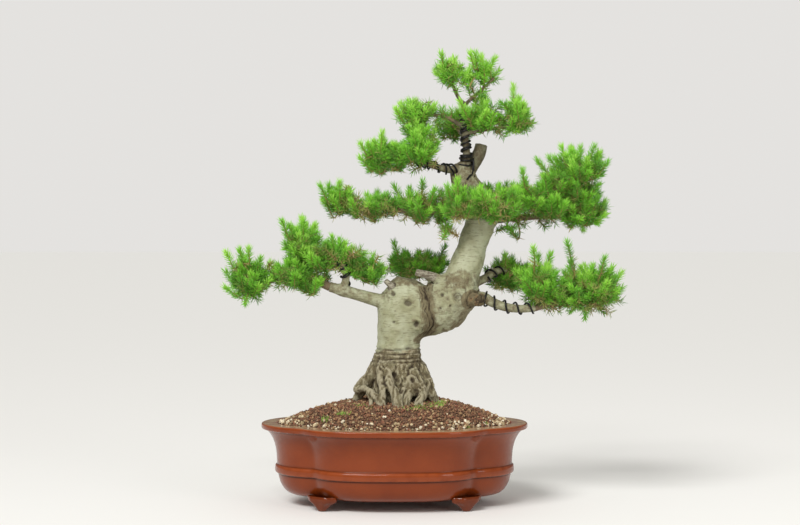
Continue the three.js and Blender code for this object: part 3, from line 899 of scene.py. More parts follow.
@dataclass(frozen=True)
class WallPoint:
    """A point of the wall's profile.

    Args:
        inset: How far it lies inside the rim's outer edge.
        height: Its height over the soles.
        edge: How thin the glaze is there.
        pool: How much glaze pools there, and how much painted shade darkens it there.
        ledge: How much dust lies there.
    """

    inset: float
    height: float
    edge: float = 0
    pool: float = 0
    ledge: float = 0

    def between(self, other: WallPoint, share: float) -> WallPoint:
        """Returns the point that lies a share of the way to another."""
        return WallPoint(*(a + (b - a) * share for a, b in zip(astuple(self), astuple(other))))

    @classmethod
    def profile(cls, *rows: Sequence[float]) -> tuple[WallPoint, ...]:
        """Returns a profile's points, each given as a row of its numbers."""
        return tuple(cls(*row) for row in rows)


@dataclass(frozen=True)
class Pot:
    """The glazed pot with its flared rim, its raised band and its four bracket feet.

    Args:
        outline: The rim's outline.
        outside: The wall's outer profile, from under the body up to the lip.
        inside: Its inner profile, from the lip down to the floor.
        turns: How many steps go round the wall.
        unevenness: How far the wall strays from its true form.
        drain_offset: How far the two drain holes lie from the axis.
        drain_radius: Their radius.
        drain_length: How far up from the soles they are drilled.
        foot_across: How far the feet stand to each side.
        foot_deep: How far they stand to the front and back.
        foot_turn: How far each is turned to follow the wall.
        foot_levels: Height, half width and half depth of a foot, from the sole up.
    """

    outline: LobedOutline = LobedOutline()
    # Its pool numbers darken the band's lower groove, the corner over the band and the corner under the
    # lip: glaze pooling and painted shade.
    outside: tuple[WallPoint, ...] = WallPoint.profile(
        (66, 17), (52, 17.6), (40, 22.5), (31.5, 35), (28.2, 47),
        (27.4, 50.8), (27.6, 51.8, 0, 0.9), (27.2, 52.6, 0, 0.9),
        (24.2, 53.6, 0.5), (22.6, 55, 0.9), (22.1, 58.5, 0.2),
        (22.3, 62.5, 0.3), (22.8, 65.5, 0.8), (24.4, 67, 0.5, 0.1),
        (25.4, 68, 0, 0.7), (25.3, 70), (25, 80), (24, 92),
        (20.6, 106), (15, 116.5), (10.4, 121.8), (8.6, 124, 0, 0.7),
        (7.8, 124.8, 0, 0.5), (3.4, 125.3, 0.3), (0.9, 126.2, 0.8),
        (0, 128), (0, 132), (0.4, 133.8, 1), (1.6, 134.7, 1, 0, 0.4),
        (4, 135, 0.5, 0, 1), (12, 134.8, 0.1, 0, 1), (21, 134.9, 0.2, 0, 1),
    )
    inside: tuple[WallPoint, ...] = WallPoint.profile(
        (24.6, 135, 0.8, 0, 0.8), (26.2, 134.6, 1), (27.2, 133.4, 0.6),
        (28.4, 130), (31, 116), (34, 100), (38, 45), (58, 27),
    )
    turns: int = 288
    unevenness: float = 0.35
    drain_offset: float = 88
    drain_radius: float = 11
    drain_length: float = 40
    foot_across: float = 116
    foot_deep: float = 84
    foot_turn: float = 0.6
    foot_levels: tuple[tuple[float, float, float], ...] = (
        (0, 5.6, 4.8), (0.9, 7.2, 6.2), (4.4, 9.6, 8.4), (8.2, 13, 10), (11.6, 17.4, 11.4),
        (14, 23, 12.6), (16.2, 26, 13.4), (19, 27, 14), (22.6, 26.6, 14), (24, 25, 13),
    )

    def profile(self) -> list[WallPoint]:
        """Returns the whole profile with its corners rounded, from the axis below to the axis above."""
        points = [*self.outside, *self.inside]
        rounded = [points[0]]
        for start, end in zip(points, points[1:]):
            rounded += [start.between(end, 0.25), start.between(end, 0.75)]
        return [*rounded, points[-1]]

    def body(self) -> Mesh:
        """Returns the wall and floor, spun from the profile and pressed into the lobed outline."""
        work = bmesh.new()
        layers = {name: work.verts.layers.float.new(name) for name in ("inset", "edge", "pool", "ledge")}
        points = self.profile()
        spread = 400
        chain = [work.verts.new((0, 0, points[0].height))]
        for point in points:
            vert = work.verts.new((spread - point.inset, 0, point.height))
            for name, layer in layers.items():
                vert[layer] = getattr(point, name)
            chain.append(vert)
        chain.append(work.verts.new((0, 0, points[-1].height)))
        spun(work, chain, self.turns)
        bmesh.ops.remove_doubles(work, verts=work.verts[:], dist=0.001)
        for vert in work.verts:
            if math.hypot(vert.co.x, vert.co.y) < 1:
                continue
            inset = vert[layers["inset"]]
            angle = self.outline.steered(math.atan2(vert.co.y, vert.co.x) % (TURN), inset)
            swell = Vector((2.2 * math.cos(angle), 2.2 * math.sin(angle), vert.co.z / 45))
            radius = self.outline.radius(angle, inset) + self.unevenness * noise.noise(swell)
            vert.co.x = radius * math.cos(angle)
            vert.co.y = radius * math.sin(angle)
        bmesh.ops.recalc_face_normals(work, faces=work.faces[:])
        return mesh_from(work, "body")

    def drilled(self, body: Mesh) -> Mesh:
        """Cuts the drain holes.

        Args:
            body: The wall and floor.

        Returns:
            The body with its holes.
        """
        for side in (-1, 1):
            work = bmesh.new()
            bmesh.ops.create_cone(
                work, cap_ends=True, segments=48, radius1=self.drain_radius, radius2=self.drain_radius,
                depth=self.drain_length,
                matrix=Matrix.Translation((side * self.drain_offset, 0, self.drain_length / 2)),
            )
            drill = placed("drill", mesh_from(work, "drill"))
            body = modified(body, "BOOLEAN", object=drill, operation="DIFFERENCE", solver="EXACT")
            bpy.data.objects.remove(drill)
        return body

    def add_foot(self, work: bmesh.types.BMesh, side: int, face: int) -> None:
        """Grows one bracket foot ring by ring from its sole.

        Args:
            work: The bmesh to add it to.
            side: -1 for the left and 1 for the right.
            face: -1 for the front and 1 for the back.
        """
        edge, pool = work.verts.layers.float["edge"], work.verts.layers.float["pool"]
        base = bmesh.ops.create_circle(work, cap_ends=True, segments=40, radius=1)["verts"]
        rings = [(base, self.foot_levels[0])]
        for level in self.foot_levels[1:]:
            edges = {e for v in base for e in v.link_edges if e.verts[0] in base and e.verts[1] in base}
            grown = bmesh.ops.extrude_edge_only(work, edges=list(edges))["geom"]
            base = [part for part in grown if isinstance(part, bmesh.types.BMVert)]
            rings.append((base, level))
        centre = Vector((side * self.foot_across, face * self.foot_deep, 0))
        for verts, (height, wide, deep) in rings:
            for vert in verts:
                angle = math.atan2(vert.co.y, vert.co.x)
                ruffle = 1 + 0.07 * math.cos(6 * angle) * min(height / 10, 1)
                place = Vector((math.cos(angle) * wide * ruffle, math.sin(angle) * deep * ruffle, height))
                vert.co = centre + Matrix.Rotation(-side * face * self.foot_turn, 3, "Z") @ place
                vert[edge] = 0.5 if height < 2 else 0.2 * abs(math.cos(3 * angle))
                # The feet are darker all over: glaze pooling and painted shade under the pot.
                vert[pool] = 0.45

    def dress(self) -> None:
        """Publishes the pot."""
        work = bmesh.new()
        work.from_mesh(self.drilled(self.body()))
        for side in (-1, 1):
            for face in (-1, 1):
                self.add_foot(work, side, face)
        set_down(mesh_from(work, "pot"), "pot_body", Glaze().material(), "pot")


# ---- Soil ----


@dataclass(frozen=True)
class Soil:
    """The domed soil, heaped a little higher behind the trunk, with its loose crumbs and moss.

    Args:
        pot: The pot that holds it.
        hole_x: How far right of the axis the tree stands.
        hole_radius: The radius that its roots fill.
        edge_height: The soil's height at the wall.
        rise: How much higher its dome is.
        crown: How much of the dome's slope is gone where the roots begin.
        back_rise: How much higher it is heaped behind.
        wall_inset: The inset of the outline where it meets the wall.
        lumps: How high the mound's lumps are.
        spacing: How far apart the crumbs lie.
        seed: Starts the scattering.
    """

    pot: Pot
    hole_x: float = 4
    hole_radius: float = 72
    edge_height: float = 131.5
    rise: float = 36
    crown: float = 0.4
    back_rise: float = 15
    wall_inset: float = 28.6
    lumps: float = 1.4
    spacing: float = 3.95
    seed: int = 4021

    # Tufts of moss and seedlings: x, y, how wide they spread, how tall they grow and their blades.
    SEEDLINGS: ClassVar[tuple[tuple[float, float, float, float, int], ...]] = (
        (-112, -66, 8, 9, 26), (-82, -70, 5, 9, 18), (-74, -74, 4, 7, 10), (-92, -60, 5, 5, 14),
        (72, -40, 9, 8, 46), (60, -48, 12, 5, 90), (44, -66, 12, 4, 80), (22, -72, 9, 4, 50),
        (78, -22, 7, 9, 30), (36, -74, 5, 8, 18), (-54, -50, 9, 5, 60), (-40, -62, 6, 4, 36),
        (-66, -34, 8, 3.5, 50), (150, -60, 4, 6, 10), (118, -84, 3, 5, 7), (-150, -52, 4, 5, 9),
        (84, 10, 9, 5, 40), (-70, 20, 9, 5, 40),
    )

    def share(self, x: float, y: float) -> float:
        """Finds how far a place lies on the way from the roots to the wall.

        Args:
            x: The place across.
            y: The place in depth.

        Returns:
            0 at the roots, 1 at the wall.
        """
        away = math.hypot(x - self.hole_x, y)
        angle = math.atan2(y, x - self.hole_x)
        wall = self.pot.outline.radius(math.atan2(y, x), self.wall_inset) - self.hole_x * math.cos(angle)
        return (away - self.hole_radius) / (wall - self.hole_radius)

    def height(self, x: float, y: float) -> float:
        """Finds the soil's height.

        Args:
            x: The place across.
            y: The place in depth.

        Returns:
            The height over the soles.
        """
        share = max(self.share(x, y), -0.1)
        dome = 1 - (self.crown + (1 - self.crown) * share) ** 2
        heap = (1 + y / self.pot.outline.broad_half_depth) / 2 * (1 - share**2)
        return self.edge_height + self.rise * dome + self.back_rise * heap

    def mound(self) -> Mesh:
        """Returns the soil under the crumbs, spun as a flat ring and then pressed to the wall."""
        work = bmesh.new()
        hub, rings, lump_size = 10, 40, 9
        spun(work, [work.verts.new((hub + i, 0, 0)) for i in range(rings + 1)], 160)
        for vert in work.verts:
            out = (math.hypot(vert.co.x, vert.co.y) - hub) / rings
            angle = self.pot.outline.steered(math.atan2(vert.co.y, vert.co.x) % (TURN), self.wall_inset)
            wall = self.pot.outline.radius(angle, self.wall_inset)
            x, y = ((0.1 + 0.9 * out) * wall * f(angle) for f in (math.cos, math.sin))
            lump = noise.fractal(Vector((x / lump_size, y / lump_size, 0)), 0.8, 2.1, 3) - 1
            vert.co = Vector((x, y, self.height(x, y) + self.lumps * lump))
        bmesh.ops.recalc_face_normals(work, faces=work.faces[:])
        return mesh_from(work, "mound")

    @staticmethod
    def crumb() -> Mesh:
        """Returns one crumb, a block with its corners knocked off, about 1 in radius."""
        work = bmesh.new()
        bmesh.ops.create_cube(work, size=1.5)
        bmesh.ops.bevel(
            work, geom=work.edges[:], offset=0.34, offset_type="OFFSET", segments=1, profile=0.5,
            affect="EDGES", material=-1,
        )
        return mesh_from(work, "crumb")

    def grit_share(self, x: float, y: float) -> float:
        """Returns how much pale grit lies at a place: most of it in front, by the rim."""
        near_rim = float(blend(0.62, 1, np.array(self.share(x, y))))
        return 0.025 + 0.42 * near_rim * (1.2 if y < 0 else 0.6)

    def scatter(
        self, chance: Callable[[float, float], float], wood: Wood, rng: np.random.Generator
    ) -> Array:
        """Finds places for crumbs on the soil, clear of the wood.

        Args:
            chance: The share of places that are taken, by x and y.
            wood: The tree's wood.
            rng: Picks the places.

        Returns:
            An (n, 3) array of places on the soil.
        """
        outline = self.pot.outline
        reach = outline.end_centre + outline.end_radius
        grid = np.arange(-reach, reach, self.spacing)
        found = []
        for row, y in enumerate(grid[np.abs(grid) < outline.broad_half_depth]):
            for x in grid + (row % 2) * self.spacing / 2:
                px, py = np.array([x, y]) + rng.uniform(-0.42, 0.42, 2) * self.spacing
                if math.hypot(px, py) > outline.radius(math.atan2(py, px), self.wall_inset + 1.2):
                    continue
                if rng.random() < chance(px, py):
                    found.append((px, py, self.height(px, py)))
        places = np.array(found)
        return places[wood.depth(places)[0] > -1.5]

    def pour(self, places: Array, sizes: Array, rng: np.random.Generator, name: str) -> Mesh:
        """Drops a crumb at each place, tumbled and squeezed at random.

        Args:
            places: An (n, 3) array.
            sizes: A radius for each.
            rng: Tumbles them.
            name: The mesh's name.

        Returns:
            All crumbs in one mesh, each with its own tone.
        """
        crumb = self.crumb()
        shape = vertices_of(crumb)
        count = len(places)
        axes = np.linalg.qr(rng.normal(size=(count, 3, 3)))[0]
        squeeze = rng.uniform(0.62, 1.15, (count, 1, 3))
        dents = rng.uniform(0.78, 1.14, (count, len(shape), 1))
        bodies = (shape[None] * squeeze * dents) @ axes * sizes[:, None, None]
        mesh = stamped(crumb, bodies + places[:, None], name)
        write_shares(mesh, "tone", np.repeat(rng.random(count), len(shape)))
        return mesh

    def dress(self, wood: Wood) -> None:
        """Publishes the mound, its brown crumbs, its pale ones and the moss.

        Args:
            wood: The tree's wood, which they all keep clear of.
        """
        rng = np.random.default_rng(self.seed)
        clay = Crumbs().material()
        mound = self.mound()
        write_shares(mound, "tone", np.full(len(mound.vertices), 0.12))
        set_down(mound, "soil_mound", clay, "soil")
        places = self.scatter(lambda x, y: 1, wood, rng)
        sizes = 1.4 + 1.9 * rng.random(len(places)) ** 1.6
        places[:, 2] += sizes * rng.uniform(-0.1, 0.75, len(places))
        crumbs = self.pour(places, sizes, rng, "crumbs")
        set_down(crumbs, "soil_crumbs", clay, "soil", smooth=False)
        places = self.scatter(self.grit_share, wood, rng)
        sizes = 1.3 + 2.9 * rng.random(len(places)) ** 2.2
        places[:, 2] += sizes * 0.5 + 1
        pumice = self.pour(places, sizes, rng, "pumice")
        set_down(pumice, "soil_pumice", Pumice().material(), "soil", smooth=False)
        self.plant(wood, rng)

    def plant(self, wood: Wood, rng: np.random.Generator) -> None:
        """Publishes the moss and the seedlings on the soil.

        Args:
            wood: The tree's wood.
            rng: Scatters their blades.
        """
        blade = Spray.needle()
        shape = vertices_of(blade)
        tufts, tones = [], []
        for x, y, spread, tallest, count in self.SEEDLINGS:
            turn, out = rng.uniform(0, TURN, count), spread * np.sqrt(rng.random(count))
            roots = np.column_stack([x + out * np.cos(turn), y + out * np.sin(turn), np.zeros(count)])
            roots[:, 2] = [self.height(px, py) - 0.5 for px, py, _ in roots]
            gap, away, _ = wood.depth(roots)
            roots -= away * np.minimum(gap, 0)[:, None]
            aims = np.column_stack([rng.normal(0, 0.45, (count, 2)), np.ones(count)])
            aims /= np.linalg.norm(aims, axis=1)[:, None]
            tall = tallest * rng.uniform(0.4, 1, count)
            far = shape[:, 2] * tall[:, None]
            width = np.clip(0.16 * tall, 0.35, 1.1)[:, None, None]
            places = roots[:, None] + aims[:, None] * far[:, :, None]
            places[:, :, :2] += shape[None, :, :2] * width
            tufts.append(places)
            tones.append(np.clip(rng.normal(0.45, 0.2, (count, 1)) + 0.3 * shape[None, :, 2], 0, 1))
        mesh = stamped(blade, np.concatenate(tufts), "seedlings")
        write_shares(mesh, "tone", np.concatenate(tones).ravel())
        set_down(mesh, "soil_moss", Moss().material(), "soil")


# ---- The tree's measurements ----

# Stations are x, y, z and a radius.
TRUNK: tuple[Station, ...] = (
    (4, 0, 150, 46), (4, 0, 168, 44), (4, 0, 191, 41), (4, 0, 213, 39.5), (4, 0, 233, 38.5),
    (6, 0, 249, 37.5), (7, 0, 264, 35.3), (8, 0, 284, 36), (11, -2, 307, 38), (17, -2, 329, 39),
    (24, -2, 347, 35), (29, -2, 361, 24),
)
LIMB: tuple[Station, ...] = (
    (19, -4, 304, 30), (52, -6, 316, 39), (80, -6, 329, 42), (100, -4, 348, 35.5), (110, -2, 368, 29),
    (117, 0, 390, 26.3), (134, 4, 439, 24.5), (143, 6, 463, 24), (147, 8, 486, 22), (135, 10, 509, 20.5),
    (119, 10, 529, 19), (110, 10, 546, 15),
)
LEADER: tuple[Station, ...] = (
    (112, 10, 534, 15), (112, 10, 546, 14), (117, 9, 562, 9), (119.5, 8, 578, 6.5), (118, 8, 598, 5.2),
    (116, 8, 617, 4.6), (114.7, 8, 636, 4.2), (114, 8, 652, 3.8), (113.5, 8, 664, 3.4),
)
SNAGS: dict[str, tuple[Station, ...]] = {
    "old_leader": ((115, 16, 540, 12), (129, 25, 560, 11.5), (141, 32, 580, 11), (145, 34, 595, 10)),
    "dead_stub": ((82, -20, 366, 10), (60, -27, 377, 7), (35, -30, 383, 5.5)),
    "dead_twig": ((6, -18, 349, 8), (-6, -24, 361, 5.5), (-15, -26, 370, 4)),
    "cut_knot": ((140, -6, 478, 12), (152, -20, 484, 10.5)),
    "broken_stub": ((118, -22, 338, 11), (142, -40, 338, 10.5)),
}
ROOTS: tuple[tuple[Station, ...], ...] = (
    ((-18, -4, 240, 16), (-36, -6, 214, 12), (-50, -5, 194, 9), (-61, -2, 176, 7), (-66, 0, 158, 5)),
    ((-50, -6, 204, 7), (-61, -14, 190, 6.5), (-50, -32, 194, 5.5), (-36, -46, 186, 5.5),
     (-24, -57, 170, 5), (-20, -62, 150, 4)),
    ((-20, -30, 232, 8), (-24, -40, 213, 5.5), (-20, -49, 197, 5.5), (-20, -55, 180, 5.5),
     (-25, -63, 160, 4.5), (-27, -68, 148, 3.5)),
    ((-8, -32, 232, 9), (-9, -42, 213, 7), (-6, -50, 199, 7.5), (2, -57, 183, 7.5), (3, -65, 166, 6.5),
     (7, -74, 152, 5.5), (11, -82, 142, 4)),
    ((12, -14, 226, 22), (26, -27, 202, 21), (36, -28, 186, 14)),
    ((40, -34, 200, 9), (45, -42, 185, 8), (38, -52, 172, 6), (30, -60, 158, 4.5), (24, -67, 146, 3.5)),
    ((24, -40, 192, 8), (20, -54, 176, 6.5), (17, -64, 160, 5), (13, -70, 146, 4)),
    ((40, -2, 224, 14), (52, -12, 200, 12.5), (58, -14, 186, 10), (67, -13, 170, 7.5), (74, -12, 156, 5)),
    ((26, 16, 232, 12), (44, 24, 204, 10.5), (55, 30, 182, 9), (64, 36, 164, 6)),
    ((10, 20, 234, 13), (22, 40, 204, 11), (30, 52, 180, 9), (36, 64, 164, 6)),
    ((-4, 22, 230, 11), (-6, 44, 200, 9.5), (-4, 55, 178, 8), (-2, 68, 162, 5.5)),
    ((-16, 18, 232, 11), (-32, 32, 202, 10), (-40, 42, 180, 8.5), (-49, 54, 162, 5.5)),
    # Thin roots that cross the thick ones.
    ((-9, -50, 202, 3), (-17, -56, 190, 3.2), (-15, -60, 174, 3), (-12, -66, 156, 2.4)),
    ((16, -52, 196, 3), (10, -60, 182, 3.2), (12, -66, 168, 3), (20, -72, 152, 2.4)),
    ((52, -30, 190, 3.2), (44, -48, 178, 3), (46, -58, 164, 2.6), (52, -66, 150, 2.2)),
    ((-44, -38, 188, 3), (-38, -52, 172, 2.8), (-44, -62, 156, 2.4)),
)
# Pits between the roots, and the one in the broken stub. They are carved, and also painted dark as painted
# shade.
HOLLOWS: tuple[Station, ...] = (
    (-34, -34, 199, 9), (-14, -40, 208, 5.5), (-2, -40, 216, 5), (-45, -34, 178, 8), (-8, -58, 168, 5),
    (36, -50, 190, 4.5), (30, -46, 208, 4), (12, -58, 190, 4), (48, 8, 186, 7), (12, 56, 190, 7),
    (-22, 48, 186, 7), (139, -50, 338, 7),
)

# Each branch: its whole route, and how many of its stations are bare wood of the tree itself.
BRANCHES: dict[str, tuple[int, tuple[Station, ...]]] = {
    "left": (5, (
        (3, -8, 330, 14), (-24, -14, 336, 11.5), (-53, -18, 344, 10), (-81, -20, 352, 9),
        (-106, -20, 359, 8), (-129, -18, 369, 7), (-155, -15, 375, 5.8), (-184, -12, 372, 4.8),
        (-208, -10, 368, 4), (-235, -8, 370, 3.2), (-255, -8, 377, 2.5),
    )),
    "left_crown": (3, (
        (-85, -20, 352, 7), (-79, -28, 377, 6), (-86, -32, 397, 5.2), (-102, -30, 410, 4.4),
        (-122, -26, 418, 3.6), (-145, -22, 425, 2.8),
    )),
    "right_low": (6, (
        (116, -6, 337, 12), (144, -13, 342, 9), (160, -17, 334, 8), (182, -19, 326, 7.2),
        (206, -19, 323, 6.6), (231, -16, 324, 6), (256, -14, 332, 5.2), (283, -12, 342, 4.4),
        (311, -10, 349, 3.7), (339, -8, 357, 3.1), (362, -8, 368, 2.5),
    )),
    "right_back": (4, (
        (118, 6, 360, 9), (149, 20, 371, 7), (166, 34, 382, 6), (187, 46, 386, 5), (208, 54, 382, 4),
        (229, 58, 385, 3),
    )),
    "back_low": (2, (
        (80, 16, 352, 12), (60, 50, 374, 8), (40, 68, 383, 6), (16, 78, 388, 4.5), (-8, 82, 393, 3.2),
    )),
    "mid_left": (3, (
        (141, 0, 479, 12), (118, -14, 484, 9), (91, -22, 485, 8), (58, -22, 484, 7), (22, -18, 485, 6),
        (-14, -14, 487, 5), (-50, -12, 490, 4), (-80, -10, 495, 3.2), (-103, -8, 504, 2.5),
    )),
    "front_left": (2, ((141, -6, 488, 10), (132, -36, 493, 7), (116, -54, 495, 5), (98, -64, 498, 3.4))),
    "front_right": (2, ((150, -6, 492, 10), (164, -34, 494, 7), (179, -48, 495, 5), (194, -58, 496, 3.4))),
    "mid_right": (2, (
        (148, 8, 477, 13), (175, 6, 483, 10), (201, 2, 489, 8.5), (227, -2, 497, 7), (252, -4, 510, 6),
        (273, -5, 525, 5), (293, -5, 540, 4), (313, -5, 555, 3),
    )),
    "mid_right_low": (2, (
        (150, 14, 470, 9), (184, 26, 472, 7), (222, 28, 474, 6.2), (250, 26, 477, 5.2), (284, 24, 481, 4.2),
        (317, 20, 488, 3.2),
    )),
    "mid_back": (2, ((144, 12, 490, 11), (151, 42, 499, 8), (147, 68, 507, 5.5), (134, 90, 513, 3.6))),
    "upper_left": (3, (
        (112, 8, 556, 7.5), (90, -6, 552, 6), (70, -12, 556, 5.2), (45, -14, 564, 4.6), (17, -12, 568, 4),
        (-11, -10, 570, 3.3), (-34, -8, 575, 2.6),
    )),
    "upper_left_top": (2, (
        (116, 8, 622, 3.8), (97, -3, 633, 3.4), (75, -6, 641, 3.1), (52, -6, 641, 2.8), (29, -4, 642, 2.5),
        (12, -4, 647, 2.2),
    )),
    "upper_right": (2, (
        (116.5, 8, 612, 4), (140, 5, 617, 3.7), (161, 2, 620, 3.4), (184, 0, 623, 3.1), (204, -2, 628, 2.7),
        (219, -2, 634, 2.2),
    )),
    "upper_back": (2, ((118, 9, 602, 4.2), (111, 40, 616, 3.8), (104, 60, 625, 3.3), (96, 74, 633, 2.6))),
    "apex_left": (2, ((114, 8, 659, 3.3), (103, 6, 677, 3), (95, 4, 696, 2.7), (86, 2, 717, 2.2))),
    "apex_right": (2, (
        (114, 8, 657, 3.3), (125, 6, 668, 3), (138, 4, 679, 2.8), (152, 4, 692, 2.5), (165, 4, 704, 2.2),
    )),
}

# The clouds of foliage: centre x, y, z, then half width, depth and height. The tips are the
# outermost needle points, as x and z, of the shoots that make the outline.
Cloud = tuple[float, float, float, float, float, float]
Tip = tuple[float, float]
FOLIAGE: dict[str, tuple[tuple[Cloud, ...], tuple[Tip, ...]]] = {
    "left": (
        ((-237, -8, 377, 45, 46, 51), (-163, -5, 390, 40, 52, 40)),
        ((-276, 423), (-256, 428), (-237, 430), (-218, 413), (-203, 405), (-286, 390), (-283, 363),
         (-267, 341), (-245, 325), (-219, 337)),
    ),
    "left_crown": (
        ((-153, -8, 436, 41, 50, 45), (-89, -35, 413, 49, 45, 36), (-40, -14, 392, 33, 36, 28)),
        ((-186, 474), (-174, 468), (-155, 480), (-147, 476), (-134, 465), (-122, 446), (-104, 449),
         (-93, 450), (-80, 439), (-66, 431), (-47, 428), (-35, 418)),
    ),
    "right_low": (
        ((236, -12, 368, 49, 55, 53), (322, -8, 360, 61, 55, 59)),
        ((225, 431), (240, 418), (260, 421), (279, 440), (284, 410), (318, 400), (345, 414), (365, 398),
         (382, 388), (382, 363), (374, 341), (345, 319), (316, 298), (288, 311)),
    ),
    "right_back": (((192, 60, 382, 46, 38, 44),), ((184, 419), (197, 401))),
    "back_low": (((43, 78, 399, 61, 42, 34),), ((-3, 439), (15, 424), (40, 421), (63, 419), (88, 433))),
    "mid_left": (
        ((39, -15, 497, 44, 48, 33), (-90, -8, 509, 38, 40, 30), (-32, -12, 497, 33, 42, 30)),
        ((-124, 532), (-110, 534), (-89, 538), (-69, 525), (-48, 518), (-28, 523), (-3, 533), (24, 529),
         (47, 539), (68, 525)),
    ),
    "front_left": (((106, -58, 498, 45, 32, 39),), ((101, 540), (83, 530))),
    "front_right": (((168, -52, 494, 42, 32, 36),), ((136, 524), (171, 532))),
    "mid_right": (
        ((227, -3, 514, 50, 48, 41), (303, -5, 560, 53, 46, 43)),
        ((207, 558), (232, 575), (250, 579), (272, 597), (293, 597), (311, 598), (330, 597), (342, 588),
         (353, 570), (349, 547)),
    ),
    "mid_right_low": (
        ((309, 16, 489, 50, 42, 42),),
        ((337, 511), (355, 507), (354, 483), (342, 459), (317, 446), (294, 453)),
    ),
    "mid_back": (((146, 92, 511, 82, 38, 34),), ()),
    "upper_left": (
        ((-26, -8, 578, 36, 38, 40), (42, -12, 592, 43, 44, 43)),
        ((-58, 600), (-46, 601), (-33, 604), (-19, 619), (-61, 577), (-47, 548), (-17, 540)),
    ),
    "upper_left_top": (
        ((37, -4, 651, 43, 34, 25),), ((-1, 656), (8, 670), (20, 673), (34, 675), (70, 665)),
    ),
    "upper_right": (
        ((151, 2, 645, 43, 36, 41), (198, -2, 648, 36, 34, 50)),
        ((103, 670), (131, 676), (142, 677), (197, 699), (207, 678), (223, 636), (235, 635)),
    ),
    "upper_back": (((104, 66, 636, 51, 28, 41),), ()),
    "apex_left": (((87, 3, 722, 31, 28, 31),), ((75, 750), (89, 737), (102, 735), (62, 718))),
    "apex_right": (
        ((142, 4, 723, 33, 28, 30),), ((122, 750), (131, 751), (143, 750), (170, 744), (178, 724)),
    ),
}


# ---- Wood ----


@dataclass(frozen=True)
class Knot:
    """An eye in the bark where a twig once grew.

    Args:
        x: Its place across.
        z: Its height.
        size: Its radius.
        pit: How deep its middle lies.
        lip: How high its rim stands.
        rings: How many fine rings lie round it.
        stretch: How much wider than high it is.
        dark: How dark its middle is.
        facing: The direction that it faces, in degrees from the front towards the right.
    """

    x: float
    z: float
    size: float
    pit: float
    lip: float
    rings: float = 0
    stretch: float = 1
    dark: float = 1
    facing: float = 0


